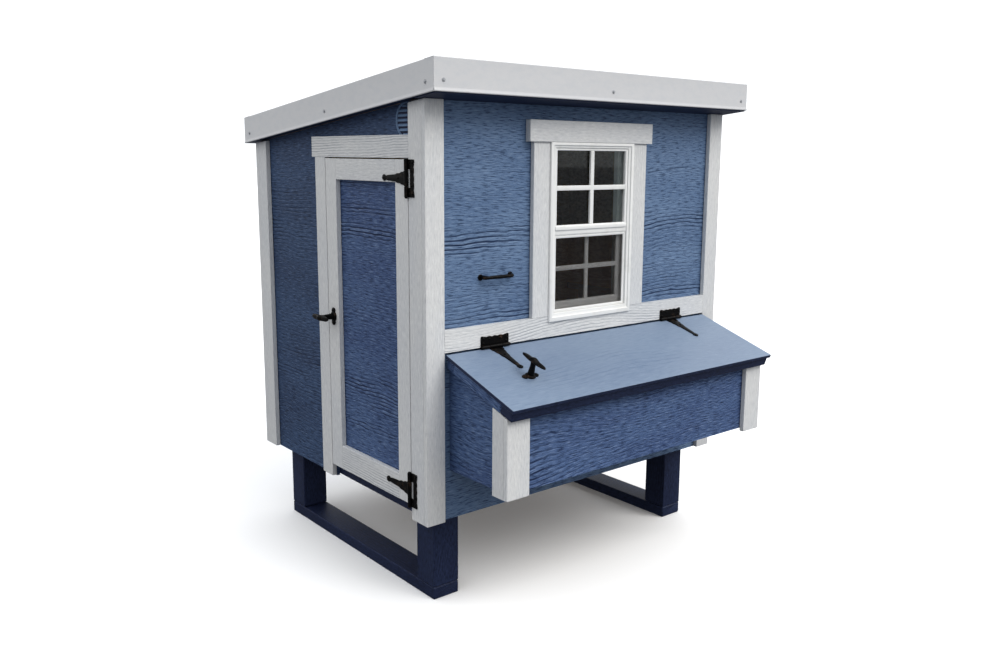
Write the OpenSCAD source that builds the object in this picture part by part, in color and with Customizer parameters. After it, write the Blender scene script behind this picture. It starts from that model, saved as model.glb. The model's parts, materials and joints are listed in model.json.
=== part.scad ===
// Raised chicken coop: a framed, sheet-sided house on two skids, with a
// single-slope metal roof, a keeper's door on the left, a sash window, a
// lidded nest box on the front and a drop-down hen ramp on the right.
// Left is -X, front is -Y, up is +Z. The ground is at z = 0.

/* [House] */
// Width over the corner boards
house_w = 1251; // [1200:1:1300]
// Depth over the corner boards
house_d = 1039; // [1000:1:1100]
// Height of the walls' lower edge above the ground
wall_low = 252; // [240:1:300]
// Thickness of the sheet siding
siding_t = 11; // [9:0.5:12]
// Thickness of the trim boards
trim_t = 16; // [14:0.5:18]
// Width of the trim boards
trim_w = 63.5; // [60:0.5:66]
// Side of the square framing timbers
stud = 38; // [34:1:38]

/* [Skids] */
// Side of the square posts
post_w = 89; // [80:1:89]
// Thickness of the flat skids
skid_t = 38; // [30:1:45]
// Length of the skids
skid_len = 900; // [860:1:920]
// Set-back of the left skid from the left corner board
skid_in_left = 50; // [40:1:60]
// Set-back of the right skid from the right corner board
skid_in_right = 100; // [60:1:110]
// Set-back of both skids from the front
skid_in_front = 41; // [36:1:60]

/* [Roof] */
// Height of the front fascia's lower edge
eave_front = 1454; // [1440:1:1500]
// Fall of the roof in millimetres per metre
roof_fall = 108.5; // [90:0.5:120]
// Height of the fascia
fascia_h = 87.5; // [84:0.5:95]
// Overhang in front of the corner boards
over_front = 79.5; // [60:0.5:95]
// Overhang behind the corner boards
over_back = 31; // [26:1:60]
// Overhang at both sides
over_side = 24; // [24:1:40]

/* [Door] */
// Width of the keeper's door
door_w = 460; // [440:1:470]
// Height of the keeper's door
door_h = 986; // [960:1:990]
// Height of the door's lower edge above the ground
door_low = 296; // [290:1:300]

/* [Window] */
// Width of the window frame
win_w = 355; // [350:1:360]
// Height of the window frame
win_h = 539; // [530:1:541]
// Height of the window frame's lower edge above the ground
win_low = 796; // [790:1:800]

/* [Nest box] */
// Width over the nest box's corner boards
nest_w = 1104; // [1060:1:1106]
// Reach of the nest box in front of the house's corner boards
nest_reach = 263; // [240:1:268]
// Height of the nest box's lower edge above the ground
nest_low = 390; // [380:1:400]
// Width of the lid
lid_w = 1118; // [1114:1:1122]
// Reach of the lid in front of the house's corner boards
lid_reach = 297; // [290:1:300]
// Height of the lid's upper face where it meets the wall
lid_back_z = 746; // [740:1:748]
// Fall of the lid in degrees
lid_pitch = 18.2; // [16:0.1:19]

/* [Hen ramp] */
// Width of the ramp
ramp_w = 310; // [280:1:320]
// Length of the ramp
ramp_len = 500; // [460:1:520]

/* [Hidden] */
$fn = 48;

// Gap left between timbers that butt together, and the hairline between trim boards
gap = 0.5;
hair = 0.1;
// Gap left between sloping faces that rest on each other
slope_gap = 0.3;
// Gap round a door or lid
door_gap = 3;

// Tee hinges and their pins
pin_r = 3;
bore_r = 3.05;
knuckle_r = 5.5;
pin_h = knuckle_r + 0.4;
leaf_t = 2.5;
hinge_half = 51;
strap_half = 22;
leaf_w = 34;
strap_len = 127;

// T-handles
shaft_r = 6;
handle_bore_r = 6.05;
base_t = 7;
stem_top = 44;
bar_len = 98;
bar_t = 14;
handle_reach = stem_top + bar_t;

// Roof screws stand this proud of the fascia
screw_h = 3;
metal = 1;

// The origin is the middle of the whole object's box, on the ground
side_reach = over_side + screw_h;
left = (handle_reach - side_reach - house_w) / 2;
right = left + house_w;
front = (lid_reach - house_d - over_back - screw_h) / 2;
back = front + house_d;

// Planes of the siding's outer and inner faces
side_out = trim_t;
side_in = trim_t + siding_t;
frame_in = side_in + stud;

// Roof
roof_front = front - over_front;
roof_back = back + over_back;
roof_left = left - over_side;
roof_right = right + over_side;
function roof_z(y) = eave_front - roof_fall / 1000 * (y - roof_front);
rafter_low = 3;
rafter_high = 66;
wall_top = rafter_low - slope_gap;
deck_low = rafter_high + slope_gap;
deck_top = rafter_high + 11;
sheet_low = deck_top + slope_gap;
trim_top = -3.5;

// Floor
floor_low = wall_low + 4;
floor_top = floor_low + 101;
joist_h = 89;

// Door
corner_w = trim_w + trim_t;
door_y0 = front + corner_w + door_gap;
door_y1 = door_y0 + door_w;
door_top = door_low + door_h;
door_axis_y = door_y0 - door_gap / 2;
door_handle_y = front + 510;
door_handle_z = 791;
door_hinge_z = [door_low + 47, door_top - 51];

// Window
win_x = (left + right) / 2;
win_top = win_low + win_h;
sash_half = win_w / 2 - 22;
meet_z = win_low + 262;
sash_low = win_low + 26;
sash_top = win_top - 16;
window_y = front + trim_t;

// Nest box and lid
nest_x0 = (left + right - nest_w) / 2;
nest_x1 = nest_x0 + nest_w;
nest_y = front - nest_reach;
lid_x0 = (left + right - lid_w) / 2;
lid_x1 = lid_x0 + lid_w;
lid_t = 11;
lid_frame_h = 30;
lid_len = lid_reach / cos(lid_pitch);
function lid_z(y) = lid_back_z + tan(lid_pitch) * (y - front);
function nest_top(y) = lid_z(y) - (lid_t + lid_frame_h + 1) / cos(lid_pitch);
lid_axis_y = front - pin_h;
lid_axis_z = lid_z(lid_axis_y) + pin_h / cos(lid_pitch);
lid_hinge_x = [left + 240, left + 1010];
lid_handle_x = left + 234;
lid_handle_s = 176;
lid_cam_depth = lid_t + lid_frame_h + 14;
nest_hole_w = 300;
nest_hole_x = [left + 115, left + 475.5, left + 836];

// Ramp
ramp_y0 = front + 430;
ramp_y1 = ramp_y0 + ramp_w;
ramp_low = door_low;
ramp_top = ramp_low + ramp_len;
ramp_axis_z = ramp_low - door_gap / 2;
ramp_hinge_y = [ramp_y0 + 55, ramp_y1 - 55];

// Height of the roosts' undersides
roost_z = 760;

// Vents
vent_r = 46;
vent_y = front + 110;
vent_z = 1388;

siding_blue = [0.33, 0.43, 0.59];
side_navy = [0.22, 0.29, 0.43];
frame_navy = [0.16, 0.20, 0.33];
lid_blue = [0.55, 0.65, 0.77];
white = [0.88, 0.88, 0.87];
black_iron = [0.06, 0.06, 0.06];
raw_wood = [0.76, 0.62, 0.43];

// ---- Helpers ----

// Board between two opposite corners
module board(a, b) {
    translate(a) cube([b[0] - a[0], b[1] - a[1], b[2] - a[2]]);
}

// A (y, z) outline carried along X
module along_x(x0, x1) {
    translate([x0, 0, 0]) rotate([90, 0, 90]) linear_extrude(x1 - x0) children();
}

// Board that follows the roof: low and high are heights above the eave line
module roof_board(x0, x1, y0, y1, low, high) {
    along_x(x0, x1) polygon([
        [y0, roof_z(y0) + low], [y1, roof_z(y1) + low],
        [y1, roof_z(y1) + high], [y0, roof_z(y0) + high]]);
}

// Upright board whose top is cut to the roof's slope
module wall_board(x0, x1, y0, y1, z0, top) {
    along_x(x0, x1) polygon([
        [y0, z0], [y1, z0], [y1, roof_z(y1) + top], [y0, roof_z(y0) + top]]);
}

// Upright board of the nest box, cut to the lid's slope
module nest_board(x0, x1, y0, y1, z0) {
    along_x(x0, x1) polygon([
        [y0, z0], [y1, z0], [y1, nest_top(y1)], [y0, nest_top(y0)]]);
}

// Flat ring: an outer rectangle less an inner one, in X-Z, between y0 and y1
module ring_xz(half_w, z0, z1, side, low, high, y0, y1) {
    difference() {
        board([win_x - half_w, y0, z0], [win_x + half_w, y1, z1]);
        board([win_x - half_w + side, y0 - 1, z0 + low], [win_x + half_w - side, y1 + 1, z1 - high]);
    }
}

// Two bars that divide a sash into four panes
module muntins(half_w, z0, z1, bar, y0, y1) {
    board([win_x - bar / 2, y0, z0], [win_x + bar / 2, y1, z1]);
    board([win_x - half_w, y0, (z0 + z1 - bar) / 2], [win_x + half_w, y1, (z0 + z1 + bar) / 2]);
}

// Knuckle of a hinge along X
module knuckle(x0, x1) {
    translate([x0, 0, 0]) rotate([0, 90, 0]) cylinder(r = knuckle_r, h = x1 - x0);
}

module pin_bore() {
    translate([-hinge_half - 1, 0, 0]) rotate([0, 90, 0]) cylinder(r = bore_r, h = 2 * hinge_half + 2);
}

// Fixed leaf: pin along X, leaf towards +Y, its back pin_h below the pin
module hinge_plate() {
    split = strap_half + gap;
    slot_half = 25.5;
    slot_end = 13.5;
    difference() {
        union() {
            translate([0, 0, -pin_h]) linear_extrude(leaf_t) difference() {
                union() {
                    translate([-hinge_half, 0]) square([2 * hinge_half, leaf_w - 4]);
                    for (i = [-2:2]) {
                        translate([i * 20.4, leaf_w - 8]) circle(r = i % 2 == 0 ? 8 : 6.5);
                    }
                    for (s = [-1, 1]) {
                        translate([s * (hinge_half - 6) - 6, leaf_w - 12]) square([12, 12]);
                    }
                }
                translate([-slot_half, -1]) square([2 * slot_half, slot_end + 1]);
            }
            knuckle(-hinge_half, -split);
            knuckle(split, hinge_half);
        }
        pin_bore();
    }
}

// Moving leaf: a tapering strap towards -Y with a round tip
module hinge_strap() {
    difference() {
        union() {
            translate([0, 0, -pin_h]) linear_extrude(leaf_t) union() {
                polygon([
                    [-strap_half, 0], [strap_half, 0], [strap_half, -16], [17, -26], [17, -34],
                    [12.5, -44], [12.5, -54], [8.5, -66], [6.5, -104], [-6.5, -104], [-8.5, -66],
                    [-12.5, -54], [-12.5, -44], [-17, -34], [-17, -26], [-strap_half, -16]]);
                translate([0, 9 - strap_len]) circle(r = 9);
                translate([-6.5, -110]) square([13, 8]);
            }
            knuckle(-strap_half, strap_half);
        }
        pin_bore();
    }
}

module hinge_pin() {
    reach = hinge_half + 0.5;
    translate([-reach, 0, 0]) rotate([0, 90, 0]) cylinder(r = pin_r, h = 2 * reach);
    for (s = [-1, 1]) {
        translate([s > 0 ? reach : -reach - 2.5, 0, 0]) rotate([0, 90, 0]) cylinder(r = 4.2, h = 2.5);
    }
}

// T-handle on the Z axis, its mounting face at z = 0 and its bar along X
module tee_handle(depth) {
    translate([0, 0, -depth]) cylinder(r = shaft_r, h = depth + base_t + 1);
    translate([0, 0, base_t + 0.4]) cylinder(r1 = 10, r2 = 7.5, h = stem_top - base_t);
    intersection() {
        rotate([90, 0, 0]) translate([0, 0, -12]) linear_extrude(24) polygon([
            [-bar_len / 2, stem_top + 4], [-14, stem_top - 1], [14, stem_top - 1],
            [bar_len / 2, stem_top + 4], [bar_len / 2, stem_top + 9], [12, stem_top + bar_t],
            [-12, stem_top + bar_t], [-bar_len / 2, stem_top + 9]]);
        translate([0, 0, stem_top - 4]) linear_extrude(30) polygon([
            [-bar_len / 2, -4], [-38, -8], [-10, -9], [10, -9], [38, -8], [bar_len / 2, -4],
            [bar_len / 2, 4], [38, 8], [10, 9], [-10, 9], [-38, 8], [-bar_len / 2, 4]]);
    }
}

// Oblong mounting base, long across the handle's bar, with a bearing collar
module tee_base() {
    difference() {
        union() {
            linear_extrude(4) union() {
                circle(r = 16);
                for (s = [-1, 1]) translate([0, s * 19]) circle(r = 9);
                translate([-9, -19]) square([18, 38]);
            }
            cylinder(r1 = 14, r2 = 12, h = base_t);
        }
        translate([0, 0, -1]) cylinder(r = handle_bore_r, h = base_t + 2);
    }
}

// Latch bar screwed to the shaft's end, pointing along +Y
module cam_bar(reach) {
    linear_extrude(4) union() {
        circle(r = 10);
        translate([-8, 0]) square([16, reach]);
    }
    translate([0, 0, -4]) cylinder(r = 5, h = 4);
}

// Places a hinge drawn about X onto the door's upright axis
module on_door_hinge(z) {
    translate([left - pin_h, door_axis_y, z]) rotate([0, -90, 0]) rotate([0, 0, 180]) children();
}

// Places a hinge drawn about X onto the lid's axis, leaf flat on the band board
module on_lid_plate(x) {
    translate([x, lid_axis_y, lid_axis_z]) rotate([90, 0, 0]) children();
}

// The same axis, leaf flat on the sloping lid
module on_lid_strap(x) {
    translate([x, lid_axis_y, lid_axis_z]) rotate([lid_pitch, 0, 0]) children();
}

// Places a hinge drawn about X onto the ramp's axis at the foot of the ramp
module on_ramp_hinge(y) {
    translate([right + pin_h, y, ramp_axis_z]) rotate([0, 0, -90]) rotate([-90, 0, 0]) children();
}

// Door handle frame: the Z axis points out of the door, X runs towards the front
module on_door_handle() {
    translate([left, door_handle_y, door_handle_z]) rotate([0, -90, 0]) rotate([0, 0, -90]) children();
}

// Lid frame: X along the hinge, Y up the slope, Z out of the lid's upper face
module on_lid() {
    translate([0, front, lid_back_z]) rotate([lid_pitch, 0, 0]) children();
}

// Lid handle frame, turned so that the bar runs up the slope
module on_lid_handle() {
    on_lid() translate([lid_handle_x, -lid_handle_s, 0]) rotate([0, 0, 90]) children();
}

// ---- Base ----

module skid(x0) {
    y0 = front + skid_in_front;
    board([x0, y0, 0], [x0 + post_w, y0 + skid_len, skid_t]);
}

module posts(x0) {
    y0 = front + skid_in_front;
    for (y = [y0, y0 + skid_len - post_w]) {
        board([x0, y, skid_t], [x0 + post_w, y + post_w, floor_low]);
    }
}

module skid_left() { color(frame_navy) skid(left + skid_in_left); }
module skid_right() { color(frame_navy) skid(right - skid_in_right - post_w); }
module posts_left() { color(frame_navy) posts(left + skid_in_left); }
module posts_right() { color(frame_navy) posts(right - skid_in_right - post_w); }

module floor_frame() {
    x0 = left + side_in;
    x1 = right - side_in;
    y0 = front + side_in;
    y1 = back - side_in;
    top = floor_low + joist_h;
    color(frame_navy) {
        board([x0, y0, floor_low], [x1, y0 + stud, top]);
        board([x0, y1 - stud, floor_low], [x1, y1, top]);
        for (i = [0:3]) {
            x = x0 + i * (x1 - x0 - stud) / 3;
            board([x, y0 + stud + gap, floor_low], [x + stud, y1 - stud - gap, top]);
        }
    }
}

module floor_board() {
    color(raw_wood) board(
        [left + side_in, front + side_in, floor_low + joist_h],
        [right - side_in, back - side_in, floor_top]);
}

// ---- Wall framing ----

module wall_frame_front() {
    y0 = front + side_in;
    y1 = front + frame_in;
    x0 = left + frame_in + gap;
    x1 = right - frame_in - gap;
    stud_x = [win_x - win_w / 2 - stud + 12.5, win_x + win_w / 2 - 12.5];
    low = floor_top + stud + gap;
    nest_head = 664;
    color(raw_wood) {
        board([x0, y0, floor_top], [x1, y1, floor_top + stud]);
        roof_board(x0, x1, y0, y1, wall_top - stud, wall_top);
        for (x = stud_x) {
            wall_board(x, x + stud, y0, y1, low, wall_top - stud - gap);
        }
        board([x0, y0, nest_head], [stud_x[0] - gap, y1, nest_head + stud]);
        board([stud_x[1] + stud + gap, y0, nest_head], [x1, y1, nest_head + stud]);
        for (z = [nest_head, win_low - 24, win_top - 13]) {
            board([stud_x[0] + stud + gap, y0, z], [stud_x[1] - gap, y1, z + stud]);
        }
    }
}

module wall_frame_back() {
    y0 = back - frame_in;
    y1 = back - side_in;
    x0 = left + frame_in + gap;
    x1 = right - frame_in - gap;
    color(raw_wood) {
        board([x0, y0, floor_top], [x1, y1, floor_top + stud]);
        roof_board(x0, x1, y0, y1, wall_top - stud, wall_top);
        for (i = [1:2]) {
            x = x0 + i * (x1 - x0) / 3 - stud / 2;
            wall_board(x, x + stud, y0, y1, floor_top + stud + gap, wall_top - stud - gap);
        }
    }
}

module side_frame(x0, stud_y, rails) {
    x1 = x0 + stud;
    y0 = front + side_in;
    y1 = back - side_in;
    color(raw_wood) {
        roof_board(x0, x1, y0, y1, wall_top - stud, wall_top);
        for (y = concat([y0, y1 - stud], stud_y)) {
            wall_board(x0, x1, y, y + stud, floor_top, wall_top - stud - gap);
        }
        for (r = rails) {
            board([x0, r[0] + gap, r[2]], [x1, r[1] - gap, r[2] + stud]);
        }
    }
}

module wall_frame_left() {
    latch_y = door_y1 + door_gap + 20;
    side_frame(left + side_in, [latch_y], [
        [front + frame_in, latch_y, door_top - 12],
        [latch_y + stud, back - frame_in, floor_top]]);
}

module wall_frame_right() {
    a = ramp_y0 - door_gap - stud;
    b = ramp_y1 + door_gap;
    side_frame(right - frame_in, [a, b], [
        [a + stud, b, ramp_top - 12],
        [front + frame_in, a, floor_top],
        [b + stud, back - frame_in, floor_top]]);
}

// ---- Siding ----

module siding_front() {
    y0 = front + side_out;
    y1 = front + side_in;
    color(siding_blue) difference() {
        wall_board(left + side_in, right - side_in, y0, y1, wall_low, wall_top);
        board([win_x - win_w / 2 + 12, y0 - 1, win_low + 14],
            [win_x + win_w / 2 - 12, y1 + 1, win_top - 13]);
        for (x = nest_hole_x) {
            board([x, y0 - 1, nest_low + 50], [x + nest_hole_w, y1 + 1, 660]);
        }
    }
}

module siding_back() {
    color(siding_blue) wall_board(
        left + side_in, right - side_in, back - side_in, back - side_out, wall_low, wall_top);
}

module vent_hole(x0) {
    translate([x0 - 1, vent_y, vent_z]) rotate([0, 90, 0]) cylinder(r = vent_r + 0.5, h = siding_t + 2);
}

module siding_left() {
    x0 = left + side_out;
    color(side_navy) difference() {
        wall_board(x0, x0 + siding_t, front + side_out, back - side_out, wall_low, wall_top);
        board([x0 - 1, door_y0 - door_gap, wall_low - 1],
            [x0 + siding_t + 1, door_y1 + door_gap, door_top + door_gap]);
        vent_hole(x0);
    }
}

module siding_right() {
    x0 = right - side_in;
    color(side_navy) difference() {
        wall_board(x0, x0 + siding_t, front + side_out, back - side_out, wall_low, wall_top);
        board([x0 - 1, ramp_y0 - door_gap, ramp_low - door_gap],
            [x0 + siding_t + 1, ramp_y1 + door_gap, ramp_top + door_gap]);
        vent_hole(x0);
    }
}

// Round louvre plates let into the side walls
module vent_louvres() {
    slot_pitch = 13;
    for (x0 = [left + side_out, right - side_in]) {
        color(side_navy) difference() {
            translate([x0, vent_y, vent_z]) rotate([0, 90, 0]) cylinder(r = vent_r, h = siding_t);
            for (i = [-3:3]) {
                half = sqrt(pow(vent_r - 4, 2) - pow(i * slot_pitch, 2));
                z = vent_z + i * slot_pitch;
                board([x0 - 1, vent_y - half, z - 3], [x0 + siding_t + 1, vent_y + half, z + 3]);
            }
        }
    }
}

// ---- Trim boards ----

// Two boards at a corner: the front or back one covers the side one's edge
module corner(x_out, x_sign, y_out, y_sign) {
    xa = x_out + x_sign * trim_w;
    xb = x_out + x_sign * trim_t;
    ya = y_out + y_sign * trim_t;
    yb = ya + y_sign * hair;
    yc = y_out + y_sign * corner_w;
    wall_board(min(x_out, xa), max(x_out, xa), min(y_out, ya), max(y_out, ya), wall_low, trim_top);
    wall_board(min(x_out, xb), max(x_out, xb), min(yb, yc), max(yb, yc), wall_low, trim_top);
}

module corner_boards_front() {
    color(white) {
        corner(left, 1, front, 1);
        corner(right, -1, front, 1);
    }
}

module corner_boards_back() {
    color(white) {
        corner(left, 1, back, -1);
        corner(right, -1, back, -1);
    }
}

module band_board() {
    low = lid_back_z + 4;
    color(white) difference() {
        board([left + trim_w, front, low], [right - trim_w, front + trim_t, low + trim_w]);
        board([win_x - win_w / 2, front - 1, win_low],
            [win_x + win_w / 2, front + trim_t + 1, low + trim_w + 1]);
    }
}

module window_casing() {
    low = lid_back_z + 4 + trim_w;
    head_over = 20;
    x0 = win_x - win_w / 2;
    x1 = win_x + win_w / 2;
    color(white) {
        board([x0 - trim_w, front, low], [x0, front + trim_t, win_top]);
        board([x1, front, low], [x1 + trim_w, front + trim_t, win_top]);
        board([x0 - trim_w - head_over, front - 6, win_top + hair],
            [x1 + trim_w + head_over, front + trim_t, win_top + trim_w]);
    }
}

module door_casing() {
    jamb_y = door_y1 + door_gap;
    head = door_top + door_gap;
    color(white) {
        board([left, jamb_y, wall_low + 3], [left + trim_t, jamb_y + trim_w, head - hair]);
        board([left, front + corner_w, head], [left + trim_t, jamb_y + trim_w + 20, head + trim_w]);
    }
}

// ---- Roof ----

module rafters() {
    side = metal + stud + gap;
    x0 = roof_left + side;
    x1 = roof_right - side;
    count = 4;
    color(raw_wood) for (i = [0:count - 1]) {
        x = x0 + i * (x1 - x0 - stud) / (count - 1);
        roof_board(x, x + stud, roof_front + side, roof_back - side, rafter_low, rafter_high);
    }
}

module sub_fascia() {
    x0 = roof_left + metal;
    x1 = roof_right - metal;
    y0 = roof_front + metal;
    y1 = roof_back - metal;
    color(frame_navy) {
        roof_board(x0, x1, y0, y0 + stud, rafter_low, rafter_high);
        roof_board(x0, x1, y1 - stud, y1, rafter_low, rafter_high);
        for (x = [x0, x1 - stud]) {
            roof_board(x, x + stud, y0 + stud + gap, y1 - stud - gap, rafter_low, rafter_high);
        }
    }
}

module soffit_board() {
    color(frame_navy) roof_board(
        left - 20, right + 20, roof_front + metal + 2, front + side_out, -rafter_low, wall_top);
}

module roof_deck() {
    color(raw_wood) roof_board(
        roof_left + metal, roof_right - metal,
        roof_front + metal, roof_back - metal, deck_low, deck_top);
}

// Low-ribbed metal sheet, its ribs below the trim's upper flange
module roof_sheet() {
    x0 = roof_left + 2 * metal;
    x1 = roof_right - 2 * metal;
    y0 = roof_front + 2 * metal;
    y1 = roof_back - 2 * metal;
    ribs = 6;
    color(white) {
        roof_board(x0, x1, y0, y1, sheet_low, sheet_low + metal);
        for (i = [1:ribs - 1]) {
            x = x0 + i * (x1 - x0) / ribs;
            roof_board(x - 9, x + 9, y0 + 50, y1 - 50, sheet_low + metal / 2, fascia_h - metal);
        }
    }
}

// Folded metal edging: a fascia with a doubled hem and a flange over the roof
module roof_trim() {
    flange = 44;
    hem = 8;
    hem_t = 0.8;
    under = fascia_h - metal;
    color([0.80, 0.81, 0.82]) {
        for (s = [-1, 1]) {
            y_out = s < 0 ? roof_front : roof_back;
            y_in = y_out - s * metal;
            y_top = y_out - s * flange;
            y_hem = y_out + s * hem_t;
            union() {
                roof_board(roof_left, roof_right, min(y_out, y_in), max(y_out, y_in), 0, fascia_h);
                roof_board(roof_left, roof_right, min(y_out, y_top), max(y_out, y_top), under, fascia_h);
                roof_board(roof_left, roof_right, min(y_out, y_hem), max(y_out, y_hem), 0, hem);
            }
        }
        for (s = [-1, 1]) {
            x_out = s < 0 ? roof_left : roof_right;
            x_in = x_out - s * metal;
            x_top = x_out - s * flange;
            x_hem = x_out + s * hem_t;
            y0 = roof_front + metal + hair;
            y1 = roof_back - metal - hair;
            y2 = roof_front + flange + hair;
            y3 = roof_back - flange - hair;
            union() {
                roof_board(min(x_out, x_in), max(x_out, x_in), y0, y1, 0, under - hair);
                roof_board(min(x_out, x_in), max(x_out, x_in), y2, y3, 0, fascia_h);
                roof_board(min(x_out, x_top), max(x_out, x_top), y2, y3, under, fascia_h);
                roof_board(min(x_out, x_hem), max(x_out, x_hem), y0, y1, 0, hem);
            }
        }
    }
}

// Hexagon-headed roofing screw with its washer, pointing along +Z
module screw_head() {
    cylinder(r = 5, h = 1.2);
    translate([0, 0, 1.2]) cylinder(r = 3.4, h = screw_h - 1.2, $fn = 6);
}

module roof_screws() {
    up = 30;
    end_in = 30;
    side_in_end = 39;
    color([0.75, 0.76, 0.77]) {
        for (i = [0:2]) {
            x = roof_left + end_in + i * (roof_right - roof_left - 2 * end_in) / 2;
            translate([x, roof_front, eave_front + up]) rotate([90, 0, 0]) screw_head();
            translate([x, roof_back, roof_z(roof_back) + up]) rotate([-90, 0, 0]) screw_head();
        }
        for (i = [0:2]) {
            y = roof_front + side_in_end + i * (roof_back - roof_front - 2 * side_in_end) / 2;
            translate([roof_left, y, roof_z(y) + up]) rotate([0, -90, 0]) screw_head();
            translate([roof_right, y, roof_z(y) + up]) rotate([0, 90, 0]) screw_head();
        }
    }
}

// ---- Inside ----

module roost_bars() {
    color(raw_wood) for (y = [back - 330, back - 130]) {
        board([left + frame_in + gap, y, roost_z], [right - frame_in - gap, y + stud, roost_z + stud]);
    }
}

module roost_cleats() {
    low = roost_z - stud - gap;
    color(raw_wood) for (x = [left + frame_in, right - frame_in - 19]) {
        board([x, back - 400, low], [x + 19, back - frame_in - gap, low + stud]);
    }
}

// ---- Window ----

module window_frame() {
    lip = 22;
    body_half = win_w / 2 - 13;
    stop_half = sash_half - 7;
    color(white) difference() {
        union() {
            board([win_x - win_w / 2, window_y - lip, win_low], [win_x + win_w / 2, window_y, win_top]);
            board([win_x - body_half, window_y - 1, win_low + 15],
                [win_x + body_half, window_y + 40, win_top - 14]);
        }
        board([win_x - sash_half, window_y - lip - 1, sash_low],
            [win_x + sash_half, window_y + 22, sash_top]);
        board([win_x - stop_half, window_y + 21, sash_low + 7],
            [win_x + stop_half, window_y + 41, sash_top - 7]);
    }
}

module window_upper_sash() {
    y0 = window_y - 15;
    y1 = window_y - 1;
    half = sash_half - hair;
    color(white) {
        ring_xz(half, meet_z, sash_top - hair, 9, 30, 8, y0, y1);
        muntins(half - 9 + 0.5, meet_z + 29.5, sash_top - 8, 15, y0, y0 + 9);
    }
}

module window_upper_glass() {
    color([0.75, 0.82, 0.86, 0.4]) board(
        [win_x - sash_half + 9.1, window_y - 5, meet_z + 30.1],
        [win_x + sash_half - 9.1, window_y - 2, sash_top - 8.3]);
}

// Half screen in front of the sliding sash: a thin frame round a woven sheet
module window_screen() {
    y0 = window_y - 13;
    half = sash_half - gap;
    color([0.25, 0.25, 0.26]) {
        ring_xz(half, sash_low + gap / 2, meet_z - gap / 2, 9, 9, 9, y0, y0 + 8);
        board([win_x - half + 8.5, y0 + 3, sash_low + 9], [win_x + half - 8.5, y0 + 4, meet_z - 9]);
    }
}

module window_lower_sash() {
    y0 = window_y + 2;
    y1 = window_y + 19;
    half = sash_half - gap;
    high = meet_z + 22;
    color(white) {
        ring_xz(half, sash_low + 0.2, high, 24, 30, 24, y0, y1);
        muntins(half - 24 + 0.5, sash_low + 29.5, high - 23.5, 15, y0 + 2, y0 + 8);
    }
}

module window_lower_glass() {
    half = sash_half - gap - 24.1;
    color([0.75, 0.82, 0.86, 0.4]) board(
        [win_x - half, window_y + 10.1, sash_low + 30.4],
        [win_x + half, window_y + 13, meet_z + 22 - 24.2]);
}

// ---- Pull handle ----

// Bent bar with a round pad at each foot
module pull_handle() {
    x = left + 255;
    z = 951;
    y = front + side_out;
    color(black_iron) for (s = [-1, 1]) {
        translate([x + s * 52, y, z]) rotate([90, 0, 0]) cylinder(r = 9, h = 3);
        translate([x + s * 52, y - 2, z]) rotate([90, 0, 0]) cylinder(r = 5, h = 26);
    }
    color(black_iron) translate([x - 57, y - 26, z]) rotate([0, 90, 0]) cylinder(r = 5, h = 114);
}

// ---- Keeper's door ----

module door_panel() {
    x0 = left + side_out;
    color(side_navy) difference() {
        board([x0, door_y0, door_low], [x0 + siding_t, door_y1, door_top]);
        on_door_handle() translate([0, 0, -side_in - 1]) cylinder(r = shaft_r + 1.5, h = siding_t + 2);
    }
}

module door_boards() {
    y0 = door_y0;
    y1 = door_y1;
    x1 = left + trim_t;
    ya = y0 + trim_w + hair;
    yb = y1 - trim_w - hair;
    color(white) {
        board([left, y0, door_low], [x1, y0 + trim_w, door_top]);
        difference() {
            board([left, y1 - trim_w, door_low], [x1, y1, door_top]);
            on_door_handle() translate([0, 0, -trim_t - 1]) cylinder(r = shaft_r + 1.5, h = trim_t + 2);
        }
        board([left, ya, door_low], [x1, yb, door_low + 78]);
        board([left, ya, door_top - trim_w], [x1, yb, door_top]);
    }
}

module door_hinge_plates() { color(black_iron) for (z = door_hinge_z) on_door_hinge(z) hinge_plate(); }
module door_hinge_straps() { color(black_iron) for (z = door_hinge_z) on_door_hinge(z) hinge_strap(); }

module door_handle_base() { color(black_iron) on_door_handle() tee_base(); }
module door_handle() { color(black_iron) on_door_handle() tee_handle(side_in + 2); }
module door_cam() {
    color([0.6, 0.6, 0.6]) on_door_handle() translate([0, 0, -side_in - 6]) cam_bar(50);
}

// ---- Nest box ----

module nest_box() {
    x0 = nest_x0 + trim_t;
    x1 = nest_x1 - trim_t;
    y0 = nest_y + trim_t;
    y1 = front + side_out;
    low = nest_low + 10;
    ya = y0 + siding_t + hair;
    yb = ya + 20;
    color(siding_blue) {
        nest_board(x0, x1, y0, y0 + siding_t, low);
        for (x = [x0, x1 - siding_t]) {
            nest_board(x, x + siding_t, ya, y1, low);
        }
    }
    color(raw_wood) {
        board([x0 + siding_t + hair, ya, low], [x1 - siding_t - hair, y1, low + 12]);
        along_x(lid_handle_x - 35, lid_handle_x + 35) polygon([
            [ya, nest_top(ya) - 12], [yb, nest_top(yb) - 12],
            [yb, nest_top(yb) - 2], [ya, nest_top(ya) - 2]]);
    }
}

module nest_corner_boards() {
    y1 = nest_y + trim_t;
    color(white) for (s = [-1, 1]) {
        x_out = s < 0 ? nest_x0 : nest_x1;
        xa = x_out - s * trim_t;
        xb = xa - s * trim_w;
        nest_board(min(x_out, xa), max(x_out, xa), nest_y, nest_y + trim_w, nest_low);
        nest_board(min(xa - s * hair, xb), max(xa - s * hair, xb), nest_y, y1, nest_low);
    }
}

module nest_dividers() {
    y0 = nest_y + side_in + hair;
    low = nest_low + 22;
    color(raw_wood) for (i = [1:2]) {
        x = (nest_hole_x[i - 1] + nest_hole_w + nest_hole_x[i]) / 2;
        nest_board(x - 6, x + 6, y0, front + side_out, low);
    }
}

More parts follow.
